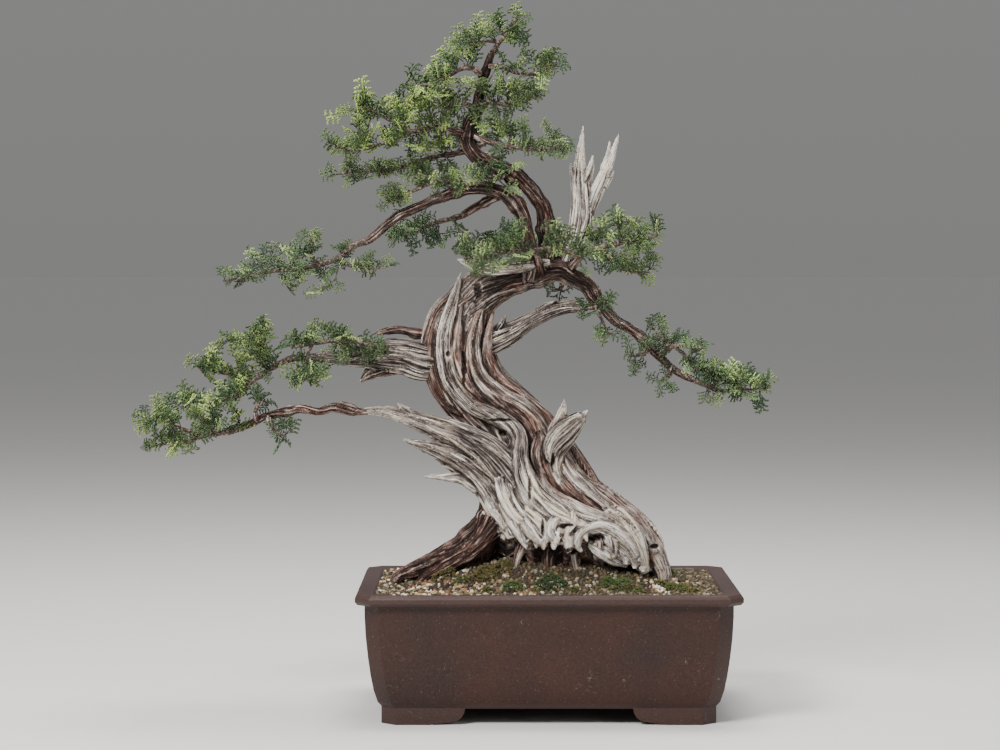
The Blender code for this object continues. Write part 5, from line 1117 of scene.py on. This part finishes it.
def scaleFoliage():
    made, tree, shader = startMaterial("juniperScaleFoliage", {"Roughness": 0.6, "Specular IOR Level": 0.25})
    tip, tint, depth, fresh = (addNode(tree, "ShaderNodeAttribute", attribute_name=name).outputs["Fac"]
                               for name in ("tip", "tint", "depth", "fresh"))
    place = addNode(tree, "ShaderNodeTexCoord").outputs["Object"]
    body = addNode(tree, "ShaderNodeMix",
                   {0: fresh, 6: linear(scaleLook["grey"]), 7: linear(scaleLook["middle"])},
                   data_type="RGBA").outputs[2]
    drift = addNode(tree, "ShaderNodeTexNoise",
                    {"Vector": place, "Scale": 24.0, "Detail": 1.0}).outputs["Fac"]
    cool = addNode(tree, "ShaderNodeMapRange", {"Value": drift, 1: 0.48, 2: 0.62, 3: 0.0, 4: 0.75}).outputs[0]
    body = addNode(tree, "ShaderNodeMix", {0: cool, 6: body, 7: linear(scaleLook["cool"])},
                   data_type="RGBA").outputs[2]
    ends = addNode(tree, "ShaderNodeMix",
                   {0: fresh, 6: linear(scaleLook["tips"]), 7: linear(scaleLook["freshTips"])},
                   data_type="RGBA").outputs[2]
    inner = addNode(tree, "ShaderNodeMath", {0: depth, 1: 0.5, 2: 0.5}, operation="MULTIPLY_ADD").outputs[0]
    tipShare = addNode(tree, "ShaderNodeMath", {0: tip, 1: inner}, operation="MULTIPLY").outputs[0]
    tipShare = addNode(tree, "ShaderNodeMath", {0: tipShare, 1: 1.6}, operation="POWER").outputs[0]
    clumps = addNode(tree, "ShaderNodeTexNoise",
                     {"Vector": place, "Scale": 60.0, "Detail": 2.0}).outputs["Fac"]
    green = addNode(tree, "ShaderNodeMix", {0: tipShare, 6: body, 7: ends}, data_type="RGBA").outputs[2]
    # Painted shade: the inner parts of a spray, and sprigs and clumps picked at random, are mixed towards the
    # shaded green
    paintedShadeShare = addNode(tree, "ShaderNodeMath", {0: tint, 1: clumps}, operation="MULTIPLY").outputs[0]
    paintedShadeShare = addNode(tree, "ShaderNodeMath", {0: paintedShadeShare, 1: inner}, operation="MULTIPLY").outputs[0]
    paintedShadeShare = addNode(tree, "ShaderNodeMapRange",
                        {"Value": paintedShadeShare, 1: 0.06, 2: 0.5, 3: 0.85, 4: 0.0}).outputs[0]
    green = addNode(tree, "ShaderNodeMix", {0: paintedShadeShare, 6: green, 7: linear(scaleLook["shaded"])},
                    data_type="RGBA").outputs[2]
    tree.links.new(green, shader.inputs["Base Color"])
    # Overlapping scales about 1 mm long
    scales = addNode(tree, "ShaderNodeTexVoronoi", {"Vector": place, "Scale": 900.0}).outputs["Distance"]
    bump = addNode(tree, "ShaderNodeBump", {"Height": scales, "Strength": 0.5, "Distance": 0.0004}).outputs[0]
    tree.links.new(bump, shader.inputs["Normal"])
    return made


def twigBarkMaterial():  # thin flaking reddish bark of young twigs
    made, tree, shader = startMaterial("youngTwigBark", {"Roughness": 0.75})
    place = addNode(tree, "ShaderNodeTexCoord").outputs["Object"]
    flakes = addNode(tree, "ShaderNodeTexNoise",
                     {"Vector": place, "Scale": 420.0, "Detail": 3.0}).outputs["Fac"]
    shade = addNode(tree, "ShaderNodeValToRGB", {"Fac": flakes},
                    stops=[(0.3, "#1c1410"), (0.5, "#4a3930"), (0.68, "#8c7a6c")]).outputs["Color"]
    tree.links.new(shade, shader.inputs["Base Color"])
    bump = addNode(tree, "ShaderNodeBump", {"Height": flakes, "Strength": 0.8, "Distance": 0.0006}).outputs[0]
    tree.links.new(bump, shader.inputs["Normal"])
    return made


def growFoliage():
    sprigs = collectionOf("sprigShapes", [makeSprig(number) for number in range(foliageLook["kinds"])])
    tree, sockets = sprigTree(sprigs, scaleFoliage(), twigBarkMaterial())
    total = 0
    for number, entry in enumerate(sprays):
        item, core = twigLines(entry, number), coreTwigs(entry, number)
        runTree(item, tree, sockets, {
            "Core": core, "Spacing": foliageLook["spacing"] * 0.001, "Fresh": float(entry["fresh"]),
            "Size": foliageLook["fuller"].get(entry["name"], 1.0), "Seed": number})
        bpy.data.objects.remove(core)
        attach(item, "root")
        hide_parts("foliage_" + entry["name"])
        total += sum(len(p.vertices) - 2 for p in item.data.polygons)
    removeShapes(sprigs)
    print("sprays grown:", len(sprays), "with", total, "triangles")


# Soil: loose mineral grit, mossy towards the trunk
soilLook = {
    "grainSpacing": 3.1,  # mm
    "grain": 4.4,
    "rim": 124.4, "mound": 29.0, "spread": (168.0, 116.0),  # mm: its height at the rim, its rise, its reach
    "mossSpacing": 1.5,
    "tuft": 2.2,
    "upright": 0.8,  # how far the tufts are kept from leaning, from 0 to 1
    # (x, y, half width, how olive) of each moss clump
    "moss": [(3, -86, 15, 0.0), (67, -83, 16, 0.45), (88, -95, 7, 0.5), (126, -76, 13, 0.6),
             (-64, -62, 15, 0.9), (-84, -60, 8, 0.6), (-34, -90, 11, 0.3), (-46, -50, 12, 0.9),
             (-104, -34, 12, 0.8), (24, -97, 6, 0.7), (112, -60, 8, 0.7), (116, 20, 14, 0.4),
             (60, 66, 18, 0.3), (-20, 72, 16, 0.5), (-70, 40, 15, 0.6), (-110, 30, 10, 0.3),
             (-13, -98, 6, 0.7), (-60, -93, 6, 0.7), (141, -90, 6, 0.8)],
}


def topOfSoil():
    mesh = frame["nodes"]["soil"].data.copy()
    bm = merged(mesh)
    low = [f for f in bm.faces if f.normal.z < 0.6 or f.calc_center_median().z < 0.12]
    bmesh.ops.delete(bm, geom=low, context="FACES")
    bm.to_mesh(mesh)
    bm.free()
    return newObject("looseGrit", mesh)


def makeGrain(number):
    rng = random.Random(80 + number)
    bm = bmesh.new()
    bmesh.ops.create_icosphere(bm, subdivisions=1, radius=0.0005)
    stretch = Vector((rng.uniform(0.8, 1.25), rng.uniform(0.75, 1.0), rng.uniform(0.6, 0.85)))
    for vert in bm.verts:
        vert.co = Vector(c * s for c, s in zip(vert.co, stretch)) * rng.uniform(0.85, 1.12)
    mesh = bpy.data.meshes.new("grain" + str(number))
    bm.to_mesh(mesh)
    bm.free()
    return newObject(mesh.name, mesh)


def makeTuft(number):
    rng = random.Random(120 + number)
    verts, faces, tips = [], [], []
    for i in range(4):
        turn = i * 1.6 + rng.uniform(0, 0.8)
        lean = rng.uniform(0.2, 0.8)
        end = np.array((math.cos(turn) * lean, math.sin(turn) * lean, rng.uniform(0.8, 1.3)))
        base = len(verts)
        side = np.array((-math.sin(turn), math.cos(turn), 0)) * 0.22
        verts += [side, -side, np.array((math.cos(turn), math.sin(turn), 0)) * 0.25, end]
        tips += [0, 0, 0, 1]
        faces += [(base, base + 2, base + 3), (base + 2, base + 1, base + 3), (base + 1, base, base + 3),
                  (base, base + 1, base + 2)]
    return meshObject("tuft" + str(number), [v * 0.001 for v in verts], faces, {"tip": tips})


def scatterTree(name, shapes, finish):
    tree, sockets, given = startTree(name, [
        ("Ground", "Geometry", None), ("Spacing", "Float", 0.003), ("Size", "Float", 4.0),
        ("Least", "Float", 0.6), ("Most", "Float", 1.5), ("Upright", "Float", 0.0), ("Seed", "Int", 0)])
    dots = addNode(tree, "GeometryNodeDistributePointsOnFaces", {
        "Mesh": given["Ground"], "Distance Min": given["Spacing"], "Density Max": 400000.0,
        "Seed": given["Seed"]},
        distribute_method="POISSON")
    shapesIn = addNode(tree, "GeometryNodeCollectionInfo",
                       {"Collection": shapes, "Separate Children": True, "Reset Children": True}).outputs[0]
    kind = addNode(tree, "FunctionNodeRandomValue", {4: 0, 5: len(shapes.objects) - 1, "Seed": 3},
                   data_type="INT").outputs[2]
    spin = addNode(tree, "FunctionNodeRandomValue", {0: (-3.1, -3.1, -3.1), 1: (3.1, 3.1, 3.1), "Seed": 5},
                   data_type="FLOAT_VECTOR").outputs[0]
    keepUp = addNode(tree, "ShaderNodeMath", {0: 1.0, 1: given["Upright"]}, operation="SUBTRACT").outputs[0]
    limits = addNode(tree, "ShaderNodeCombineXYZ", {"X": keepUp, "Y": keepUp, "Z": 1.0}).outputs[0]
    spin = addNode(tree, "ShaderNodeVectorMath", {0: spin, 1: limits}, operation="MULTIPLY").outputs[0]
    turned = addNode(tree, "FunctionNodeEulerToRotation", {0: spin}).outputs[0]
    size = addNode(tree, "FunctionNodeRandomValue", {2: given["Least"], 3: given["Most"], "Seed": 9},
                   data_type="FLOAT").outputs[1]
    size = addNode(tree, "ShaderNodeMath", {0: size, 1: given["Size"]}, operation="MULTIPLY").outputs[0]
    placed = addNode(tree, "GeometryNodeInstanceOnPoints", {
        "Points": dots.outputs["Points"], "Instance": shapesIn, "Pick Instance": True, "Instance Index": kind,
        "Rotation": turned, "Scale": size}).outputs[0]
    tint = addNode(tree, "FunctionNodeRandomValue", {2: 0.0, 3: 1.0, "Seed": 11},
                   data_type="FLOAT").outputs[1]
    placed = addNode(tree, "GeometryNodeStoreNamedAttribute",
                     {"Geometry": placed, "Name": "tint", "Value": tint}, data_type="FLOAT",
                     domain="INSTANCE").outputs[0]
    solid = addNode(tree, "GeometryNodeRealizeInstances", {0: placed}).outputs[0]
    smooth = addNode(tree, "GeometryNodeSetShadeSmooth", {0: solid}).outputs[0]
    last = addNode(tree, "GeometryNodeSetMaterial", {"Geometry": smooth, "Material": finish}).outputs[0]
    addNode(tree, "NodeGroupOutput", {0: last})
    return tree, sockets


def grit():  # crushed pumice, lava and fired clay, each grain its own colour
    made, tree, shader = startMaterial("mixedMineralGrit", {"Roughness": 0.85})
    tint = addNode(tree, "ShaderNodeAttribute", attribute_name="tint").outputs["Fac"]
    place = addNode(tree, "ShaderNodeTexCoord").outputs["Object"]
    ramp = addNode(tree, "ShaderNodeValToRGB", {"Fac": tint}, stops=[
        (0.0, "#1f1812"), (0.18, "#3d2f22"), (0.34, "#5e4b34"), (0.5, "#84704f"), (0.64, "#a8906a"),
        (0.74, "#8a6148"), (0.83, "#d6c8a8"), (0.92, "#ece4d0")])
    ramp.color_ramp.interpolation = "CONSTANT"
    pores = addNode(tree, "ShaderNodeTexNoise",
                    {"Vector": place, "Scale": 900.0, "Detail": 2.0}).outputs["Fac"]
    shade = addNode(tree, "ShaderNodeMapRange", {"Value": pores, 1: 0.3, 2: 0.7, 3: 0.72, 4: 1.1}).outputs[0]
    mixedColour = addNode(tree, "ShaderNodeMix", {0: 1.0, 6: ramp.outputs["Color"], 7: shade},
                          data_type="RGBA", blend_type="MULTIPLY").outputs[2]
    # Algae and damp darken whole patches of it, and it is also made darker towards the right and on the mound
    # round the trunk
    patches = addNode(tree, "ShaderNodeTexNoise",
                      {"Vector": place, "Scale": 22.0, "Detail": 3.0}).outputs["Fac"]
    parts = addNode(tree, "ShaderNodeSeparateXYZ", {0: place}).outputs
    patches = addNode(tree, "ShaderNodeMath", {0: parts["X"], 1: 0.6, 2: patches},
                      operation="MULTIPLY_ADD").outputs[0]
    mound = addNode(tree, "ShaderNodeMapRange",
                    {"Value": parts["Z"], 1: 0.138, 2: 0.152, 3: 0.0, 4: 0.16}).outputs[0]
    patches = addNode(tree, "ShaderNodeMath", {0: patches, 1: mound}, operation="ADD").outputs[0]
    damp = addNode(tree, "ShaderNodeMapRange",
                   {"Value": patches, 1: 0.42, 2: 0.62, 3: 0.0, 4: 0.78}).outputs[0]
    mixedColour = addNode(tree, "ShaderNodeMix", {0: damp, 6: mixedColour, 7: linear("#3a3018")},
                          data_type="RGBA").outputs[2]
    tree.links.new(mixedColour, shader.inputs["Base Color"])
    bump = addNode(tree, "ShaderNodeBump", {"Height": pores, "Strength": 0.6, "Distance": 0.0005}).outputs[0]
    tree.links.new(bump, shader.inputs["Normal"])
    return made


def dampSoil():  # the darker fines between the grains
    made, tree, shader = startMaterial("dampSoil", {"Roughness": 0.95})
    place = addNode(tree, "ShaderNodeTexCoord").outputs["Object"]
    crumbs = addNode(tree, "ShaderNodeTexVoronoi", {"Vector": place, "Scale": 420.0})
    shade = addNode(tree, "ShaderNodeValToRGB", {"Fac": crumbs.outputs["Distance"]},
                    stops=[(0.0, "#4a3a2c"), (0.4, "#32271e"), (0.8, "#17110d")]).outputs["Color"]
    tree.links.new(shade, shader.inputs["Base Color"])
    bump = addNode(tree, "ShaderNodeBump",
                   {"Height": crumbs.outputs["Distance"], "Strength": 1.0, "Distance": 0.001},
                   invert=True).outputs[0]
    tree.links.new(bump, shader.inputs["Normal"])
    return made


def mossGreen():  # cushion moss, soft and deep green with olive patches
    made, tree, shader = startMaterial("cushionMoss", {"Roughness": 0.9})
    tip = addNode(tree, "ShaderNodeAttribute", attribute_name="tip").outputs["Fac"]
    place = addNode(tree, "ShaderNodeTexCoord").outputs["Object"]
    olive = addNode(tree, "ShaderNodeAttribute", attribute_name="olive").outputs["Fac"]
    patches = addNode(tree, "ShaderNodeTexNoise",
                      {"Vector": place, "Scale": 90.0, "Detail": 3.0}).outputs["Fac"]
    patches = addNode(tree, "ShaderNodeMath", {0: patches, 1: 0.9, 2: -0.45},
                      operation="MULTIPLY_ADD").outputs[0]
    patches = addNode(tree, "ShaderNodeMath", {0: patches, 1: olive}, operation="ADD").outputs[0]
    low = addNode(tree, "ShaderNodeValToRGB", {"Fac": patches},
                  stops=[(0.1, "#10200a"), (0.9, "#37330f")]).outputs["Color"]
    high = addNode(tree, "ShaderNodeValToRGB", {"Fac": patches},
                   stops=[(0.0, "#244713"), (0.4, "#4c6423"), (0.8, "#625e27"),
                          (1.0, "#6d5930")]).outputs["Color"]
    shade = addNode(tree, "ShaderNodeMix", {0: tip, 6: low, 7: high}, data_type="RGBA").outputs[2]
    tree.links.new(shade, shader.inputs["Base Color"])
    return made


def soilHeight(x, y):
    away = min(1.0, math.hypot(x / soilLook["spread"][0], y / soilLook["spread"][1]))
    return soilLook["rim"] + soilLook["mound"] * min(1.0, 1.35 * (0.5 + 0.5 * math.cos(math.pi * away)))


def mossCushions():  # the upper sides of lumpy cushions that lie on the soil
    bm = bmesh.new()
    olive = bm.verts.layers.float.new("olive")
    for number, (x, y, half, share) in enumerate(soilLook["moss"]):
        start = len(bm.verts)
        bmesh.ops.create_icosphere(bm, subdivisions=3, radius=1.0)
        bm.verts.ensure_lookup_table()
        for vert in list(bm.verts)[start:]:
            spot = np.array([[vert.co.x * 1.7 + number, vert.co.y * 1.7, vert.co.z]])
            lump = 1 + 0.25 * float(latticeNoise(spot)[0])
            spot = (x + vert.co.x * half * lump, y + vert.co.y * half * 0.8 * lump)
            height = soilHeight(*spot) - 1.0 + vert.co.z * (2.5 + half * 0.5) * lump
            vert.co = Vector(inRow((*spot, height)))
            vert[olive] = share
    mesh = bpy.data.meshes.new("moss")
    bm.to_mesh(mesh)
    bm.free()
    cut = bmesh.new()
    cut.from_mesh(mesh)
    low = [f for f in cut.faces if f.normal.z < 0.05]
    bmesh.ops.delete(cut, geom=low, context="FACES")
    cut.to_mesh(mesh)
    cut.free()
    return newObject("cushionMoss", mesh)


def layGround():
    soil = frame["nodes"]["soil"]
    soil.data.materials.clear()
    soil.data.materials.append(dampSoil())
    grains = collectionOf("grainShapes", [makeGrain(i) for i in range(5)])
    loose = topOfSoil()
    gritFinish, mossFinish = grit(), mossGreen()
    tree, sockets = scatterTree("scatterGrains", grains, gritFinish)
    runTree(loose, tree, sockets, {"Spacing": soilLook["grainSpacing"] * 0.001, "Size": soilLook["grain"],
                                   "Seed": 4})
    keep(loose, gritFinish)
    removeShapes(grains)
    print("grit laid:", len(loose.data.polygons), "faces")

    moss = mossCushions()
    tufts = collectionOf("tuftShapes", [makeTuft(i) for i in range(4)])
    tree, sockets = scatterTree("scatterMoss", tufts, mossFinish)
    runTree(moss, tree, sockets, {
        "Spacing": soilLook["mossSpacing"] * 0.001, "Size": soilLook["tuft"], "Upright": soilLook["upright"],
        "Seed": 2})
    keep(moss, mossFinish)
    removeShapes(tufts)
    print("moss laid:", len(moss.data.polygons), "faces")


# Pot: unglazed stoneware, fired dark brown, rubbed paler along its lip and feet
potLook = {
    "softEdge": 0.0016, "lipEdge": 0.0045,  # m: how broadly its edges are rounded
    "body": [(0.3, "#20120e"), (0.5, "#29140e"), (0.7, "#33180f")], "worn": "#3a2824", "dust": "#8a7a72",
}


def stoneware():
    made, tree, shader = startMaterial("unglazedStoneware", {"Roughness": 0.5, "Specular IOR Level": 0.3})
    place = addNode(tree, "ShaderNodeTexCoord").outputs["Object"]
    clouds = addNode(tree, "ShaderNodeTexNoise",
                     {"Vector": place, "Scale": 11.0, "Detail": 4.0}).outputs["Fac"]
    sand = addNode(tree, "ShaderNodeTexNoise",
                   {"Vector": place, "Scale": 500.0, "Detail": 3.0}).outputs["Fac"]
    specks = addNode(tree, "ShaderNodeTexVoronoi", {"Vector": place, "Scale": 240.0}).outputs["Distance"]
    body = addNode(tree, "ShaderNodeValToRGB", {"Fac": clouds}, stops=potLook["body"]).outputs["Color"]
    height = addNode(tree, "ShaderNodeSeparateXYZ", {0: place}).outputs["Z"]
    lip = addNode(tree, "ShaderNodeMapRange",
                  {"Value": height, 1: 0.113, 2: 0.119, 3: 0.0, 4: 0.75}).outputs[0]
    feet = addNode(tree, "ShaderNodeMapRange",
                   {"Value": height, 1: 0.019, 2: 0.022, 3: 0.6, 4: 0.0}).outputs[0]
    for share in (lip, feet):
        body = addNode(tree, "ShaderNodeMix", {0: share, 6: body, 7: linear(potLook["worn"])},
                       data_type="RGBA").outputs[2]
    # Dust sits in fine scratches, in patches only, and in pinholes
    bent = addNode(tree, "ShaderNodeTexNoise",
                   {"Vector": place, "Scale": 40.0, "Detail": 4.0}).outputs["Color"]
    warped = addNode(tree, "ShaderNodeMix", {0: 0.035, 6: place, 7: bent}, data_type="RGBA").outputs[2]
    scratches = addNode(tree, "ShaderNodeTexVoronoi", {"Vector": warped, "Scale": 48.0},
                        feature="DISTANCE_TO_EDGE").outputs["Distance"]
    scratchShare = addNode(tree, "ShaderNodeMapRange",
                           {"Value": scratches, 1: 0.003, 2: 0.013, 3: 0.8, 4: 0.0}).outputs[0]
    where = addNode(tree, "ShaderNodeTexNoise",
                    {"Vector": place, "Scale": 34.0, "Detail": 6.0, "Roughness": 0.75}).outputs["Fac"]
    where = addNode(tree, "ShaderNodeMapRange", {"Value": where, 1: 0.58, 2: 0.68}).outputs[0]
    scratchShare = addNode(tree, "ShaderNodeMath", {0: scratchShare, 1: where},
                           operation="MULTIPLY").outputs[0]
    speckShare = addNode(tree, "ShaderNodeMapRange",
                         {"Value": specks, 1: 0.04, 2: 0.16, 3: 0.55, 4: 0.0}).outputs[0]
    speckShare = addNode(tree, "ShaderNodeMath", {0: speckShare, 1: sand}, operation="MULTIPLY").outputs[0]
    mottle = addNode(tree, "ShaderNodeMapRange",
                     {"Value": sand, 1: 0.35, 2: 0.75, 3: 0.0, 4: 0.06}).outputs[0]
    for share in (mottle, speckShare, scratchShare):
        body = addNode(tree, "ShaderNodeMix", {0: share, 6: body, 7: linear(potLook["dust"])},
                       data_type="RGBA").outputs[2]
    tree.links.new(body, shader.inputs["Base Color"])
    bump = addNode(tree, "ShaderNodeBump", {"Height": sand, "Strength": 0.35, "Distance": 0.0006}).outputs[0]
    tree.links.new(bump, shader.inputs["Normal"])
    return made


def throwPot():
    mesh = frame["nodes"]["pot"].data.copy()
    pot = newObject("stonewarePot", mesh)
    bm = merged(mesh)
    bmesh.ops.dissolve_limit(bm, angle_limit=math.radians(1), verts=bm.verts, edges=bm.edges)
    weights = bm.edges.layers.float.new("bevel_weight_edge")
    for edge in bm.edges:
        if len(edge.link_faces) == 2 and edge.calc_face_angle() > math.radians(12):
            onLip = min(vert.co.z for vert in edge.verts) > 0.11
            edge[weights] = 1.0 if onLip else potLook["softEdge"] / potLook["lipEdge"]
    bm.to_mesh(mesh)
    bm.free()
    soften = pot.modifiers.new("Soften", "BEVEL")
    soften.width, soften.segments, soften.limit_method = potLook["lipEdge"], 4, "WEIGHT"
    settle(pot)
    pot.data.shade_smooth()
    keep(pot, stoneware(), ["pot"])
    print("pot softened:", len(pot.data.polygons), "faces")


def meshPlastic():
    made, tree, shader = startMaterial("blackMeshPlastic", {"Roughness": 0.45})
    place = addNode(tree, "ShaderNodeTexCoord").outputs["Object"]
    dust = addNode(tree, "ShaderNodeTexNoise", {"Vector": place, "Scale": 300.0}).outputs["Fac"]
    shade = addNode(tree, "ShaderNodeValToRGB", {"Fac": dust},
                    stops=[(0.4, "#0d0d0d"), (0.7, "#2a2724")]).outputs["Color"]
    tree.links.new(shade, shader.inputs["Base Color"])
    return made


# Studio: a plain pale floor, soft light from the upper left and a camera where the photograph was taken
studio = {
    "backdrop": [(0.0, "#c1c1bf"), (0.5, "#e0e1e4"), (1.0, "#f6f7fa")],  # from the horizon upwards
    "glow": 0.42,  # of the backdrop
    "floor": "#d6d4d0",
    "floorSize": 120.0,  # m
    "sensor": 36.0,  # mm, its width, and the lens that shows the tree as large as the photograph does
    "lens": 36.0 * 2935.0 / 1000.0,
    "sight": 200.0,  # m, how far the camera sees
    # name, place in mm, size in m, power in W
    "lights": [("keySoftbox", (-1300, -1900, 2000), 1.0, 125.0),
               ("fillSoftbox", (1900, -1500, 1100), 1.6, 20.0), ("topSoftbox", (100, 300, 2300), 1.2, 60.0)],
}


def aimObject(item, spot):
    item.location = Vector(inRow(spot))
    item.rotation_euler = (Vector(inRow(sheet["aim"])) - item.location).to_track_quat("-Z", "Y").to_euler()


def setStudio():
    bpy.ops.mesh.primitive_plane_add(size=studio["floorSize"], location=(0, 0, 0))
    floor = bpy.context.object
    floor.name = "studioFloor"
    made, tree, shader = startMaterial("palePaperFloor", {"Roughness": 0.9})
    place = addNode(tree, "ShaderNodeTexCoord").outputs["Object"]
    fibre = addNode(tree, "ShaderNodeTexNoise", {"Vector": place, "Scale": 30.0}).outputs["Fac"]
    shade = addNode(tree, "ShaderNodeMapRange", {"Value": fibre, 1: 0.0, 2: 1.0, 3: 0.97, 4: 1.03}).outputs[0]
    pale = addNode(tree, "ShaderNodeMix", {0: 1.0, 6: linear(studio["floor"]), 7: shade}, data_type="RGBA",
                   blend_type="MULTIPLY").outputs[2]
    tree.links.new(pale, shader.inputs["Base Color"])
    floor.data.materials.append(made)
    world = bpy.data.worlds.new("studioAir")
    world.use_nodes = True
    air = world.node_tree
    upward = addNode(air, "ShaderNodeTexCoord").outputs["Generated"]
    upward = addNode(air, "ShaderNodeSeparateXYZ", {0: upward}).outputs["Z"]
    glow = addNode(air, "ShaderNodeValToRGB", {"Fac": upward}, stops=studio["backdrop"]).outputs["Color"]
    air.links.new(glow, air.nodes["Background"].inputs["Color"])
    air.nodes["Background"].inputs["Strength"].default_value = studio["glow"]
    bpy.context.scene.world = world
    for name, spot, size, power in studio["lights"]:
        lamp = bpy.data.lights.new(name, "AREA")
        lamp.size, lamp.energy = size, power
        aimObject(newObject(name, lamp), spot)
    eye = bpy.data.cameras.new("photoCamera")
    eye.lens, eye.sensor_width, eye.clip_end = studio["lens"], studio["sensor"], studio["sight"]
    camera = newObject("photoCamera", eye)
    aimObject(camera, sheet["eye"])
    bpy.context.scene.camera = camera
    print("studio set:", len(studio["lights"]), "lights")


setStudio()
throwPot()
screens = meshPlastic()
for name in ("drain_screen_left", "drain_screen_right"):
    frame["nodes"][name].data.materials.clear()
    frame["nodes"][name].data.materials.append(screens)
layGround()
growWood()
growFoliage()
